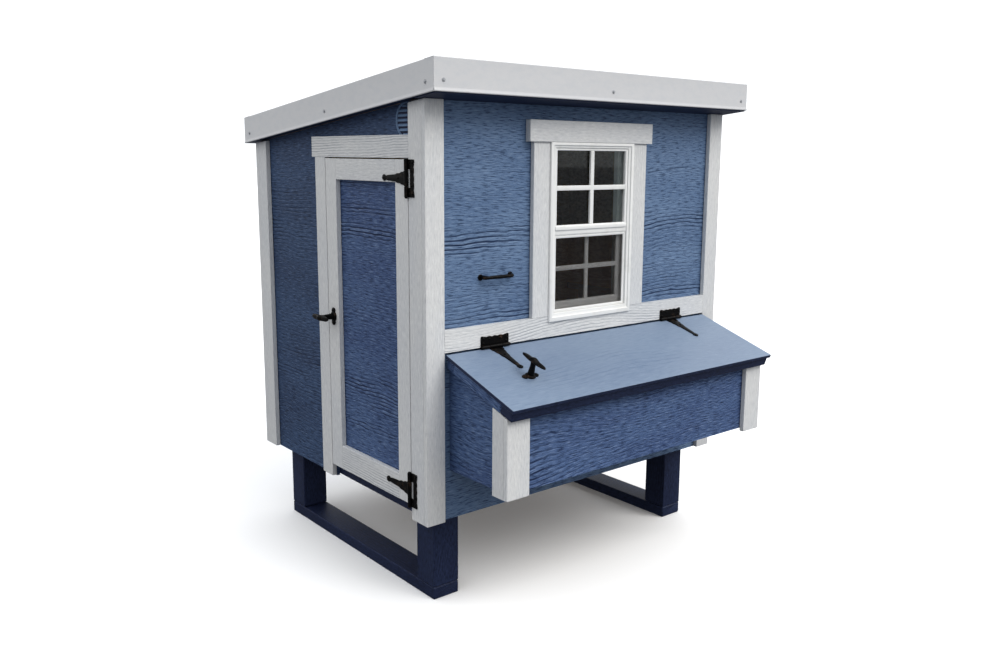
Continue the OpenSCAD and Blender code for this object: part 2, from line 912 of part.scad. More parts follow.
module lid_panel() {
    color(lid_blue) difference() {
        on_lid() board([lid_x0, -lid_len, -lid_t], [lid_x1, -2, 0]);
        on_lid_handle() translate([0, 0, -lid_t - 1]) cylinder(r = shaft_r + 1.5, h = lid_t + 2);
    }
}

module lid_frame() {
    in = 6;
    side = 32;
    front_w = 50;
    x0 = lid_x0 + in;
    x1 = lid_x1 - in;
    y0 = -lid_len + in;
    z0 = -lid_t - lid_frame_h;
    z1 = -lid_t - slope_gap;
    color(frame_navy) on_lid() {
        board([x0, y0, z0], [x1, y0 + front_w, z1]);
        board([x0, -side - 4, z0], [x1, -4, z1]);
        for (x = [x0, x1 - side]) {
            board([x, y0 + front_w + gap, z0], [x + side, -side - 4 - gap, z1]);
        }
    }
}

module lid_hinge_plates() { color(black_iron) for (x = lid_hinge_x) on_lid_plate(x) hinge_plate(); }
module lid_hinge_straps() { color(black_iron) for (x = lid_hinge_x) on_lid_strap(x) hinge_strap(); }

module lid_handle_base() { color(black_iron) on_lid_handle() tee_base(); }
module lid_handle() { color(black_iron) on_lid_handle() tee_handle(lid_cam_depth); }
module lid_cam() {
    color([0.6, 0.6, 0.6]) on_lid_handle() translate([0, 0, -lid_cam_depth - 4]) cam_bar(64);
}

// ---- Hen ramp ----

module ramp_casing() {
    y0 = ramp_y0 - door_gap;
    y1 = ramp_y1 + door_gap;
    z1 = ramp_top + door_gap;
    color(white) {
        board([right - trim_t, y0 - trim_w, wall_low], [right, y1 + trim_w, ramp_low - door_gap]);
        board([right - trim_t, y0 - trim_w, ramp_low - door_gap + hair], [right, y0, z1 - hair]);
        board([right - trim_t, y1, ramp_low - door_gap + hair], [right, y1 + trim_w, z1 - hair]);
        board([right - trim_t, y0 - trim_w - 20, z1], [right, y1 + trim_w + 20, z1 + trim_w]);
    }
}

// Sheet, edging boards and the cleats that the hens climb
module ramp_panel() {
    x0 = right - side_in;
    x1 = right - trim_t;
    edge = 50;
    color(side_navy) board([x0, ramp_y0, ramp_low], [x1, ramp_y1, ramp_top]);
    color(white) {
        for (y = [ramp_y0, ramp_y1 - edge]) {
            board([x1, y, ramp_low], [right, y + edge, ramp_top]);
        }
        for (z = [ramp_low, ramp_top - edge]) {
            board([x1, ramp_y0 + edge, z], [right, ramp_y1 - edge, z + edge]);
        }
    }
    color(raw_wood) for (z = [ramp_low + 85:80:ramp_top - 60]) {
        board([x0 - 12, ramp_y0 + 25, z], [x0, ramp_y1 - 25, z + 19]);
    }
}

module ramp_hinge_plates() { color(black_iron) for (y = ramp_hinge_y) on_ramp_hinge(y) hinge_plate(); }
module ramp_hinge_straps() { color(black_iron) for (y = ramp_hinge_y) on_ramp_hinge(y) hinge_strap(); }

// The pins of all six hinges, held in the fixed leaves
module hinge_pins() {
    color(black_iron) {
        for (z = door_hinge_z) on_door_hinge(z) hinge_pin();
        for (x = lid_hinge_x) on_lid_plate(x) hinge_pin();
        for (y = ramp_hinge_y) on_ramp_hinge(y) hinge_pin();
    }
}

// Wooden turn button on a round-headed screw
module ramp_button() {
    y = (ramp_y0 + ramp_y1) / 2;
    z = ramp_top + door_gap + 22;
    color(frame_navy) board([right + 0.5, y - 42, z - 12], [right + 12.5, y + 42, z + 12]);
    color(black_iron) translate([right + 12.5, y, z]) rotate([0, 90, 0]) cylinder(r = 6, h = 3);
}

skid_left();
skid_right();
posts_left();
posts_right();
floor_frame();
floor_board();
wall_frame_front();
wall_frame_back();
wall_frame_left();
wall_frame_right();
siding_front();
siding_back();
siding_left();
siding_right();
corner_boards_front();
corner_boards_back();
band_board();
vent_louvres();
rafters();
sub_fascia();
soffit_board();
roof_deck();
roof_sheet();
roof_trim();
roof_screws();
roost_bars();
roost_cleats();
window_casing();
window_frame();
window_upper_sash();
window_upper_glass();
window_screen();
window_lower_sash();
window_lower_glass();
pull_handle();
door_casing();
door_panel();
door_boards();
hinge_pins();
door_hinge_plates();
door_hinge_straps();
door_handle_base();
door_handle();
door_cam();
nest_box();
nest_corner_boards();
nest_dividers();
lid_panel();
lid_frame();
lid_hinge_plates();
lid_hinge_straps();
lid_handle_base();
lid_handle();
lid_cam();
ramp_casing();
ramp_panel();
ramp_hinge_plates();
ramp_hinge_straps();
ramp_button();
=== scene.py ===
import json
import math

import bpy
import numpy as np
from mathutils import Matrix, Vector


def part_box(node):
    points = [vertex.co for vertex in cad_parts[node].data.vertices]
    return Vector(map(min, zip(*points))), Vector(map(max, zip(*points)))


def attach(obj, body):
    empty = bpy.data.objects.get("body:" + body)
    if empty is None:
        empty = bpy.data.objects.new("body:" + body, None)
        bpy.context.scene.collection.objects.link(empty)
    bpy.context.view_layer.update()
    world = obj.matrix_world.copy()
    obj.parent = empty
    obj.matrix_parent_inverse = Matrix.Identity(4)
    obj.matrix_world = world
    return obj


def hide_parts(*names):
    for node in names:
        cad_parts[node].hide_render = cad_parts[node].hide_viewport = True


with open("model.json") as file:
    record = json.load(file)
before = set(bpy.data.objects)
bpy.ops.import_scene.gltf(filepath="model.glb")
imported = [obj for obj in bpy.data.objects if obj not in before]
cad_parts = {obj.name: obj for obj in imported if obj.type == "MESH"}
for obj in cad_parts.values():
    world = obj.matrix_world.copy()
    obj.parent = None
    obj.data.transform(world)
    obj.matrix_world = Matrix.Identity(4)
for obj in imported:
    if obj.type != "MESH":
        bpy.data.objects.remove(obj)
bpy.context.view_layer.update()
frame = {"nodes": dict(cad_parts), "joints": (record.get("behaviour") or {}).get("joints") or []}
nodes = frame["nodes"]
joints = {joint["name"]: joint for joint in frame["joints"]}
mm = 0.001


def corners(node):
    # low and high corner of a node's box at rest
    low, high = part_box(node)
    return np.array(low), np.array(high)


house = {
    "low": np.minimum(corners("corner_boards_front")[0], corners("corner_boards_back")[0]),
    "high": np.maximum(corners("corner_boards_front")[1], corners("corner_boards_back")[1]),
    "eave": 1.454,                          # lower edge of the front fascia
    "roofFall": 0.1085,                     # metres down for each metre towards the back
    "overFront": 79.5 * mm,                 # how far the roof stands out past the trim
    "overSide": 24 * mm,
    "overBack": 31 * mm,
    "lidHinge": 0.746,                      # where the lid's top plane meets the front of the trim
    "lidPitch": math.radians(18.2),
    "lidDeep": 42 * mm,                     # lid and its frame, square to the slope
    "trim": 16 * mm,
    "sheet": 11 * mm,
    "boardGap": 3.5 * mm,                   # from the corner boards' tops up to the fascia's lower edge
}
left, front, _ = house["low"]
right, back, _ = house["high"]


def roofZ(y):
    # height of the fascia's lower edge at a distance y
    return house["eave"] - house["roofFall"] * (y - (front - house["overFront"]))


def place(origin, xAxis, yAxis, zAxis):
    # matrix that carries local axes to three given directions and an origin
    matrix = np.eye(4)
    matrix[:3, 0], matrix[:3, 1], matrix[:3, 2], matrix[:3, 3] = xAxis, yAxis, zAxis, origin
    return matrix


def spotAt(x, y, z):
    # an unturned place
    return place((x, y, z), (1, 0, 0), (0, 1, 0), (0, 0, 1))


def moved(points, matrix):
    # points carried by a matrix, or left where they are
    return points if matrix is None else points @ matrix[:3, :3].T + matrix[:3, 3]


pitchY = np.array([0, math.cos(house["lidPitch"]), math.sin(house["lidPitch"])])
pitchZ = np.array([0, -math.sin(house["lidPitch"]), math.cos(house["lidPitch"])])
lidFrame = place((0, front, house["lidHinge"]), (1, 0, 0), pitchY, pitchZ)


def solidsOf(node, turn=None):
    # low and high corners of each separate solid of a node, in the axes of the matrix turn
    mesh = nodes[node].data
    points = np.empty(len(mesh.vertices) * 3)
    mesh.vertices.foreach_get("co", points)
    points = moved(points.reshape(-1, 3), None if turn is None else np.linalg.inv(turn))
    index = np.empty(len(mesh.loops), int)
    mesh.loops.foreach_get("vertex_index", index)
    unique, same = np.unique(np.round(points, 5), axis=0, return_inverse=True)
    triangles = same.ravel()[index].reshape(-1, 3)
    label, settled = np.arange(len(unique)), False
    while not settled:
        fresh = label.copy()
        np.minimum.at(fresh, triangles.ravel(), np.repeat(label[triangles].min(axis=1), 3))
        settled = (fresh == label).all()
        label = fresh
    return [(unique[label == k].min(0), unique[label == k].max(0)) for k in np.unique(label)]


def smoothField(u, v, seed):
    # random values on a whole-number lattice, joined by an S-shaped blend along u and v
    table = np.random.default_rng(seed).uniform(-1, 1, (64, 64))
    iu, iv = np.floor(u).astype(int), np.floor(v).astype(int)
    fu, fv = u - iu, v - iv
    fu, fv = fu * fu * (3 - 2 * fu), fv * fv * (3 - 2 * fv)
    near = table[iu % 64, iv % 64] * (1 - fu) + table[(iu + 1) % 64, iv % 64] * fu
    far = table[iu % 64, (iv + 1) % 64] * (1 - fu) + table[(iu + 1) % 64, (iv + 1) % 64] * fu
    return near * (1 - fv) + far * fv


def wandering(along, across, look, seed):
    # how far the grain strays across the board, in groove pitches: three sizes of slow wave added up
    stray = look["wander"] * smoothField(along * 2.1, across * 5, seed)
    stray = stray + 0.5 * smoothField(along * 8, across * 14, seed + 1)
    return stray + 0.14 * smoothField(along * 38, across * 40, seed + 2)


def flowOf(along, across, look, seed):
    # what finishes read: along the grain, across it following its wander, and the board's number
    follow = across + 0.6 * look["pitch"] * wandering(along, across, look, seed)
    return np.stack([along + seed, follow + seed * 3.1, np.full(along.shape, float(seed))], -1).reshape(-1, 3)


def relief(along, across, look, seed):
    # depth below the face: grooves that wander along the grain, deep inside the bands, faint outside;
    # each groove is a narrow crest of a cosine, with a low raised lip on both flanks; 1 is the full depth
    wave = 0.5 + 0.5 * np.cos(2 * np.pi * (across / look["pitch"] + wandering(along, across, look, seed)))
    groove = np.clip((wave - 0.5) / 0.5, 0, 1) ** 1.3 - 0.3 * np.exp(-((wave - 0.34) / 0.16) ** 2)
    zone = np.clip(0.5 + 0.9 * smoothField(along * 1.2, across * look["zones"], seed + 3), 0, 1)
    zone = look["faint"] + look["spread"] * zone ** 2
    for centre, width, strength in look.get("bands", ()):
        shift = 0.6 * width * smoothField(along * 1.7, across * 0, seed + 5)
        band = strength * np.exp(-((across - centre - shift) / width) ** 2)
        zone = np.maximum(zone * (1 - 0.6 * band), band)
    broken = 0.65 + 0.35 * smoothField(along * 7, across * 45, seed + 6)
    ticks = np.clip(smoothField(along * 40, across * 260, seed + 4), 0, 1)
    return np.clip(zone * broken * groove + 0.16 * ticks, -0.3, 1)


sidingLook = {"depth": 2.2 * mm, "pitch": 13 * mm, "zones": 7, "faint": 0.14, "spread": 0.5, "wander": 1.9,
              "along": 9 * mm, "across": 2.2 * mm}
trimLook = {"depth": 0.8 * mm, "pitch": 9 * mm, "zones": 11, "faint": 0.03, "spread": 0.35, "wander": 2.6,
            "along": 7 * mm, "across": 1.8 * mm, "arris": 1.2 * mm}
railLook = dict(trimLook, faint=0.22, spread=0.7)          # level boards show more of their figure
timberLook = {"depth": 0.5 * mm, "pitch": 12 * mm, "zones": 15, "faint": 0.15, "spread": 0.5, "wander": 1.2,
              "along": 12 * mm, "across": 3 * mm, "arris": 3 * mm}
lidLook = {"depth": 0.5 * mm, "pitch": 17 * mm, "zones": 5, "faint": 0.02, "spread": 0.55, "wander": 3.2,
           "along": 9 * mm, "across": 2.2 * mm, "arris": 1 * mm}


def part(points, quads, caps=(), flow=None, depth=None):
    # a mesh in the making: flow is what the finish reads, depth how far the relief goes in
    count = len(points)
    return {"points": points, "quads": quads, "caps": list(caps),
            "flow": points.copy() if flow is None else flow,
            "depth": np.zeros(count) if depth is None else depth}


def carried(rings, closed=False, flow=None, depth=None):
    # sections (n, m, 3) carried along a path: each point joins its neighbour and the next section
    n, m = rings.shape[:2]
    i = np.arange(n if closed else n - 1)[:, None]
    j = np.arange(m)[None]
    here, there = i * m, (i + 1) % n * m
    quads = np.stack([here + j, here + (j + 1) % m, there + (j + 1) % m, there + j], -1).reshape(-1, 4)
    caps = [] if closed else [list(range(m))[::-1], list(range((n - 1) * m, n * m))]
    return part(rings.reshape(-1, 3), quads, caps, flow, depth)


def outward(p):
    # turns a closed part's faces to point out: the enclosed volume has to be positive
    q, v = p["quads"], p["points"] - p["points"].mean(0)
    a, b, c, d = v[q[:, 0]], v[q[:, 1]], v[q[:, 2]], v[q[:, 3]]
    volume = np.einsum("ij,ij->", a, np.cross(b, c)) + np.einsum("ij,ij->", a, np.cross(c, d))
    for cap in p["caps"]:
        ring = v[cap]
        volume += np.cross(ring, np.roll(ring, -1, 0)).sum(0) @ ring.mean(0)
    if volume < 0:
        p["quads"] = q[:, ::-1]
        p["caps"] = [cap[::-1] for cap in p["caps"]]
    return p


def at(p, matrix):
    # a part carried to its place
    p["points"] = moved(p["points"], matrix)
    return p


def cornerLoop(countA, countB, steps):
    # a rounded rectangle's points: place between the inset corners, and direction from there
    place2, way = [], []
    turn = np.radians(np.linspace(0, 90, steps + 1))
    for k, count in enumerate((countA, countB, countA, countB)):
        f = np.linspace(0, 1, count + 1)[1:-1]
        start = np.array([(0, 0), (1, 0), (1, 1), (0, 1)][k], float)
        end = np.array([(1, 0), (1, 1), (0, 1), (0, 0)][k], float)
        facing = np.radians(-90 + 90 * k)
        place2.append(start + (end - start) * f[:, None])
        way.append(np.tile([np.cos(facing), np.sin(facing)], (len(f), 1)))
        place2.append(np.tile(end, (steps + 1, 1)))
        way.append(np.stack([np.cos(facing + turn), np.sin(facing + turn)], -1))
    return np.concatenate(place2), np.concatenate(way)


def roundRings(low, high, radius, counts=(1, 1), steps=3):
    # rounded rectangles between low and high (n, 2), one for each section
    spot, way = cornerLoop(counts[0], counts[1], steps)
    low, high = np.asarray(low)[:, None], np.asarray(high)[:, None]
    radius = np.broadcast_to(np.asarray(radius, float).reshape(-1, 1, 1), (len(low), 1, 1))
    return low + radius + spot * (high - low - 2 * radius) + radius * way, way


def spread(low, high, step, breaks=(), fine=()):
    # evenly spaced values that also fall on every break, closer together inside the fine stretches
    edges = np.unique([low, high, *[b for b in breaks if low < b < high]])
    lines = []
    for a, b in zip(edges[:-1], edges[1:]):
        close = any(f[0] <= (a + b) / 2 <= f[1] for f in fine)
        count = max(1, math.ceil((b - a) / (min(step, 2.5 * mm) if close else step)))
        lines.append(np.linspace(a, b, count + 1)[:-1])
    return np.append(np.concatenate(lines), edges[-1])


def board(low, high, look, seed, turn=None, top=None):
    # a rounded rectangle carried along the board's longest side, its faces lowered by the relief
    low, high = np.array(low, float), np.array(high, float)
    size = high - low
    g = int(np.argmax(size))
    a, b = [k for k in range(3) if k != g]
    r = min(look["arris"], 0.3 * size.min())
    ends = np.array([0, 0.3, 1]) * r
    middle = spread(low[g] + r, high[g] - r, look["along"])[1:-1]
    t = np.concatenate([low[g] + ends, middle, high[g] - ends[::-1]])
    inset = np.zeros(len(t))
    inset[:3], inset[-3:] = r - ends, r - ends[::-1]
    counts = [max(1, math.ceil((size[k] - 2 * r) / look["across"])) for k in (a, b)]
    loops, way = roundRings(low[[a, b]] + inset[:, None], high[[a, b]] - inset[:, None], r, counts)
    widest = loops[len(t) // 2]
    arc = np.concatenate([[0], np.cumsum(np.linalg.norm(np.diff(widest, axis=0), axis=1))])
    along, across = np.broadcast_arrays(t[:, None], low[a] + arc[None])
    depth = relief(along, across, look, seed)
    loops = loops - way * (look["depth"] * (depth + 0.3))[..., None]
    rings = np.empty((*loops.shape[:2], 3))
    rings[..., g], rings[..., a], rings[..., b] = t[:, None], loops[..., 0], loops[..., 1]
    if top is not None:
        ceiling = np.minimum(top(rings[..., 1]), high[2])
        rings[..., 2] = low[2] + (rings[..., 2] - low[2]) * (ceiling - low[2]) / size[2]
    p = carried(rings, False, flowOf(along, across, look, seed), depth.ravel())
    return at(outward(p), turn)


def sheet(low, high, normal, side, look, seed, holes=(), rounds=(), top=None):
    # a fine grid on the outer face, lowered by the relief, a coarse flat one behind, and walls between;
    # a hole is (u, u, z, z) and a round hole (u, z, radius)
    u = 1 - normal
    same = 1e-7

    def linesOf(k, step, edges):
        # fine lines, with one on each edge of each hole
        axis = (u, 2)[k]
        spans = [(c[k] - c[2], c[k] + c[2]) for c in rounds]
        return spread(low[axis], high[axis], step, edges + [e for span in spans for e in span], spans)

    def breaks(k, lines, edges):
        # places in the fine lines where the coarse grid needs one too
        near = [np.abs(lines - e) < same for e in edges]
        near += [np.abs(lines - c[k]) < c[2] + same for c in rounds]
        return np.unique([0, len(lines) - 1, *np.flatnonzero(np.any(near, axis=0) if near else [])])

    uEdges = [h[k] for h in holes for k in (0, 1)]
    zEdges = [h[k] for h in holes for k in (2, 3)]
    uLines = linesOf(0, look["along"], uEdges)
    zLines = linesOf(1, look["across"], zEdges)
    cu, cz = breaks(0, uLines, uEdges), breaks(1, zLines, zEdges)
    uu, zz = np.meshgrid(uLines, zLines, indexing="ij")
    if top is not None:
        base, roof = top(uu)
        zz = np.where(zz > base, base + (zz - base) * (roof - base) / (high[2] - base), zz)
    depth = relief(uu, zz, look, seed)
    outer, inner = (high[normal], low[normal]) if side > 0 else (low[normal], high[normal])
    grid = np.empty((2, *uu.shape, 3))
    grid[..., u], grid[..., 2] = uu, zz
    grid[0, ..., normal], grid[1, ..., normal] = outer - side * look["depth"] * (depth + 0.3), inner

    def solid(us, zs):
        # which cells between these lines are board and not hole
        midU, midZ = np.meshgrid((us[:-1] + us[1:]) / 2, (zs[:-1] + zs[1:]) / 2, indexing="ij")
        kept = np.ones(midU.shape, bool)
        for h in holes:
            kept &= ~((midU > h[0]) & (midU < h[1]) & (midZ > h[2]) & (midZ < h[3]))
        for c in rounds:
            kept &= (midU - c[0]) ** 2 + (midZ - c[1]) ** 2 > c[2] ** 2
        return kept

    n, m = uu.shape
    index = np.arange(2 * n * m).reshape(2, n, m)
    fine, coarse = solid(uLines, zLines), solid(uLines[cu], zLines[cz])
    face = np.stack([index[0, :-1, :-1], index[0, 1:, :-1], index[0, 1:, 1:], index[0, :-1, 1:]], -1)[fine]
    rear = index[1][np.ix_(cu, cz)]
    behind = np.stack([rear[:-1, :-1], rear[:-1, 1:], rear[1:, 1:], rear[1:, :-1]], -1)[coarse]
    framed = np.zeros((len(cu) + 1, len(cz) + 1), bool)
    framed[1:-1, 1:-1] = coarse
    walls = []
    for i, j in zip(*np.nonzero(coarse)):
        u0, u1, z0, z1 = cu[i], cu[i + 1], cz[j], cz[j + 1]
        if not framed[i, j + 1]:
            walls.append([*index[0, u0, z0:z1 + 1], index[1, u0, z1], index[1, u0, z0]])
        if not framed[i + 2, j + 1]:
            walls.append([*index[0, u1, z0:z1 + 1][::-1], index[1, u1, z0], index[1, u1, z1]])
        if not framed[i + 1, j]:
            walls.append([*index[0, u0:u1 + 1, z0][::-1], index[1, u0, z0], index[1, u1, z0]])
        if not framed[i + 1, j + 2]:
            walls.append([*index[0, u0:u1 + 1, z1], index[1, u1, z1], index[1, u0, z1]])
    quads = np.concatenate([face, behind])
    used = np.unique(np.concatenate([quads.ravel(), *walls]))
    fresh = np.zeros(2 * n * m, int)
    fresh[used] = np.arange(len(used))
    made = part(grid.reshape(-1, 3)[used], fresh[quads], [fresh[w].tolist() for w in walls],
                np.tile(flowOf(uu, zz, look, seed), (2, 1))[used],
                np.concatenate([depth.ravel(), np.zeros(uu.size)])[used])
    made["bare"] = np.repeat([0, 1, 0], [len(face), len(behind), len(walls)])
    return outward(made)


def turned(profile, count=32, matrix=None):
    # a (radius, height) profile turned about the local Z axis
    profile = np.array(profile, float)
    angle = np.linspace(0, 2 * np.pi, count, endpoint=False)
    rings = np.empty((len(profile), count, 3))
    rings[..., 0] = profile[:, :1] * np.cos(angle)
    rings[..., 1] = profile[:, :1] * np.sin(angle)
    rings[..., 2] = profile[:, 1:]
    return at(outward(carried(rings)), matrix)


def tube(path, radius, count=14):
    # circles carried along a path that stays in one plane of constant z
    path = np.array(path, float)
    ahead = np.gradient(path, axis=0)
    ahead /= np.linalg.norm(ahead, axis=1)[:, None]
    up = np.array([0, 0, 1.0])
    sideways = np.cross(ahead, up)
    angle = np.linspace(0, 2 * np.pi, count, endpoint=False)
    radius = np.broadcast_to(radius, len(path))[:, None, None]
    ring = np.cos(angle)[:, None] * sideways[:, None] + np.sin(angle)[:, None] * up
    rings = path[:, None] + radius * ring
    return outward(carried(rings))


def flatRing(outerBox, innerBox, profile, matrix=None):
    # a profile of (share of the way in, depth) carried round a rectangle in x and z, with mitred corners
    profile = np.array(profile, float)
    rings = np.empty((4, len(profile), 3))
    for k, (cx, cz) in enumerate(((0, 0), (1, 0), (1, 1), (0, 1))):
        o = np.array([outerBox[cx * 2], outerBox[1 + cz * 2]])
        i = np.array([innerBox[cx * 2], innerBox[1 + cz * 2]])
        spot = o + (i - o) * profile[:, :1]
        rings[k, :, 0], rings[k, :, 2], rings[k, :, 1] = spot[:, 0], spot[:, 1], profile[:, 1]
    return at(outward(carried(rings, True)), matrix)


def block(low, high, radius=0.6 * mm, matrix=None):
    # a small rounded bar, long in any direction
    low, high = np.array(low, float), np.array(high, float)
    g = int(np.argmax(high - low))
    a, b = [k for k in range(3) if k != g]
    ends = np.array([0, 0.3, 1]) * radius
    t = np.concatenate([low[g] + ends, high[g] - ends[::-1]])
    inset = np.concatenate([radius - ends, radius - ends[::-1]])
    loops, _ = roundRings(low[[a, b]] + inset[:, None], high[[a, b]] - inset[:, None], radius)
    rings = np.empty((*loops.shape[:2], 3))
    rings[..., g], rings[..., a], rings[..., b] = t[:, None], loops[..., 0], loops[..., 1]
    return at(outward(carried(rings)), matrix)


def piece(name, parts, finish, body, replaces=(), sharp=40, bare=None):
    # joins the parts into one object that wears a finish and rides on a body; bare goes on marked faces
    points = np.concatenate([p["points"] for p in parts])
    faces, start = [], 0
    for p in parts:
        faces += (p["quads"] + start).tolist() + [[k + start for k in cap] for cap in p["caps"]]
        start += len(p["points"])
    mesh = bpy.data.meshes.new(name)
    mesh.from_pydata(points.tolist(), [], faces)
    flow = mesh.attributes.new("flow", "FLOAT_VECTOR", "POINT")
    flow.data.foreach_set("vector", np.concatenate([p["flow"] for p in parts]).astype(np.float32).ravel())
    depth = mesh.attributes.new("relief", "FLOAT", "POINT")
    depth.data.foreach_set("value", np.concatenate([p["depth"] for p in parts]).astype(np.float32))
    mesh.polygons.foreach_set("use_smooth", np.ones(len(mesh.polygons), bool))
    mesh.set_sharp_from_angle(angle=math.radians(sharp))
    mesh.materials.append(finish)
    if bare:
        mesh.materials.append(bare)
        backs = [p["bare"] if "bare" in p else np.zeros(len(p["quads"]) + len(p["caps"]), int)
                 for p in parts]
        mesh.polygons.foreach_set("material_index", np.concatenate(backs).astype(np.int32))
    obj = bpy.data.objects.new(name, mesh)
    bpy.context.scene.collection.objects.link(obj)
    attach(obj, body)
    if replaces:
        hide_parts(*replaces)
    return obj


def tint(r, g, b):
    # screen colour, 0 to 255, as the shader's linear colour
    return tuple(((c / 255 + 0.055) / 1.055) ** 2.4 for c in (r, g, b)) + (1.0,)


class Field:
    # a shader socket that takes part in sums
    def __init__(self, owner, socket):
        self.owner, self.socket = owner, socket

    def maths(self, operation, a, b):
        # the named sum of two sockets or numbers
        return self.owner.node("Math", {"operation": operation}, {0: a, 1: b})

    def __add__(self, other):
        return self.maths("ADD", self, other)

    def __sub__(self, other):
        return self.maths("SUBTRACT", self, other)

    def __rsub__(self, other):
        return self.maths("SUBTRACT", other, self)

    def __mul__(self, other):
        return self.maths("MULTIPLY", self, other)

    __radd__, __rmul__ = __add__, __mul__

    def between(self, low, high):
        # 0 below low, 1 above high, and an S-shaped rise between
        return self.owner.node("MapRange", {"interpolation_type": "SMOOTHSTEP"},
                               {"Value": self, "From Min": low, "From Max": high})


class Finish:
    # one material, with the nodes that its maker asks for
    def __init__(self, name, **constants):
        self.material = bpy.data.materials.new(name)
        self.material.use_nodes = True
        self.tree = self.material.node_tree
        self.shader = self.tree.nodes["Principled BSDF"]
        for key, value in constants.items():
            self.wear(key.replace("_", " "), value)

    def feed(self, socket, value):
        # links a field, or sets a plain value
        if isinstance(value, Field):
            self.tree.links.new(value.socket, socket)
        elif value is not None:
            socket.default_value = value

    def wear(self, name, value):
        # feeds one of the finish's own inputs
        self.feed(self.shader.inputs[name], value)

    def node(self, kind, settings=None, inputs=None, out=0):
        # adds a node, and gives back one of its outputs
        made = self.tree.nodes.new("ShaderNode" + kind)
        for key, value in (settings or {}).items():
            setattr(made, key, value)
        for key, value in (inputs or {}).items():
            self.feed(made.inputs[key], value)
        return Field(self, made.outputs[out])

    def read(self, name, out="Vector"):
        # what a mesh carries under this name
        return self.node("Attribute", {"attribute_name": name}, None, out)

    def stretch(self, vector, scale):
        # a vector multiplied by three scales
        return self.node("VectorMath", {"operation": "MULTIPLY"}, {0: vector, 1: scale})

    def noise(self, vector, scale=(1, 1, 1), detail=2.0, rough=0.5):
        # cloudy noise, drawn out by the scales
        return self.node("TexNoise", None, {"Vector": self.stretch(vector, scale), "Scale": 1.0,
                                            "Detail": detail, "Roughness": rough})

    def mix(self, share, a, b):
        # colour a at share 0, colour b at share 1
        return self.node("Mix", {"data_type": "RGBA"}, {0: share, 6: a, 7: b}, 2)

    def bump(self, height, strength, distance):
        # tilts the surface by a height
        self.wear("Normal", self.node("Bump", None, {"Height": height, "Strength": strength,
                                                     "Distance": distance}))


def grainPaint(name, look):
    # paint over embossed grain, with painted shade in the grooves and in the sunken ticks, and painted
    # highlights on the grooves' lips and on the raised ticks; the ticks run short along the grain
    f = Finish(name, Metallic=0.0, Specular_IOR_Level=look["gloss"])
    flow, groove = f.read("flow"), f.read("relief", "Fac")
    ticks = f.noise(flow, (*look["ticks"], 1), 3.0, 0.6)
    fibre = f.noise(flow, (150, 1500, 1), 2.0)
    patch = f.noise(flow, (2.2, 6, 1), 3.0)
    # the sunken ticks, which get painted shade
    shadedTickMask = ticks.between(0.50, 0.64)
    colour = f.mix(patch.between(0.36, 0.62), look["colour"], look["second"])
    # painted shade in the sunken ticks
    colour = f.mix(shadedTickMask * look["tickShade"], colour, look["shade"])
    # painted highlight on the raised ticks
    colour = f.mix(ticks.between(0.45, 0.33) * look["highlight"], colour, look["light"])
    # painted highlight on the lips beside each groove
    colour = f.mix(groove.between(0.0, -0.22) * look["lip"], colour, look["light"])
    # painted shade in the grooves
    colour = f.mix(groove.between(0.15, 0.6) * look["grooveShade"], colour, look["shade"])
    f.wear("Base Color", colour)
    f.wear("Roughness", look["rough"] + patch * 0.16 - shadedTickMask * 0.08)
    f.bump(ticks * -1.0 + fibre * 0.12, look["bump"], look["tickDepth"])
    return f.material


# ticks are counted to the metre, along and across the grain
# light is the painted highlight and shade the painted shade; lip, highlight, tickShade and grooveShade say
# how much of each
paints = {
    "siding": {"colour": tint(100, 122, 152), "second": tint(110, 132, 161), "shade": tint(32, 47, 76),
               "light": tint(142, 160, 184), "tickShade": 0.68, "grooveShade": 0.9, "highlight": 0.5,
               "lip": 0.75, "rough": 0.42, "bump": 1.0, "ticks": (32, 330), "tickDepth": 1.4 * mm,
               "gloss": 0.2},
    # painted light: the lid's paint is the siding's blue made paler, as the sky falls on its top face
    "lid": {"colour": tint(118, 133, 154), "second": tint(124, 139, 159), "shade": tint(84, 103, 130),
            "light": tint(138, 153, 171), "tickShade": 0.3, "grooveShade": 0.35, "highlight": 0.35,
            "lip": 0.3, "rough": 0.38, "bump": 0.5, "ticks": (24, 300), "tickDepth": 0.8 * mm, "gloss": 0.4},
    "navy": {"colour": tint(38, 46, 72), "second": tint(44, 53, 80), "shade": tint(14, 18, 34),
             "light": tint(60, 72, 106), "tickShade": 0.6, "grooveShade": 0.6, "highlight": 0.45,
             "lip": 0.4, "rough": 0.42, "bump": 0.8, "ticks": (60, 260), "tickDepth": 0.8 * mm,
             "gloss": 0.25},
    "white": {"colour": tint(212, 212, 211), "second": tint(206, 207, 208), "shade": tint(138, 142, 149),
              "light": tint(232, 232, 230), "tickShade": 0.15, "grooveShade": 0.6, "highlight": 0.4,
              "lip": 0.6, "rough": 0.44, "bump": 1.0, "ticks": (45, 210), "tickDepth": 1.0 * mm,
              "gloss": 0.35},
}
# painted shade: the siding's own blue made darker, for the door panel, the nest box and the lid frame's sides
paints["sidingMid"] = dict(paints["siding"], colour=tint(77, 96, 133), second=tint(87, 108, 144),
                           shade=tint(22, 33, 62), light=tint(132, 150, 180), tickShade=0.72, highlight=0.6,
                           lip=0.9)
# painted shade: the siding's own blue made darker still, for the left wall
paints["sidingDeep"] = dict(paints["siding"], colour=tint(62, 79, 108), second=tint(70, 89, 119),
                            shade=tint(16, 26, 48), light=tint(114, 132, 160), lip=0.8)


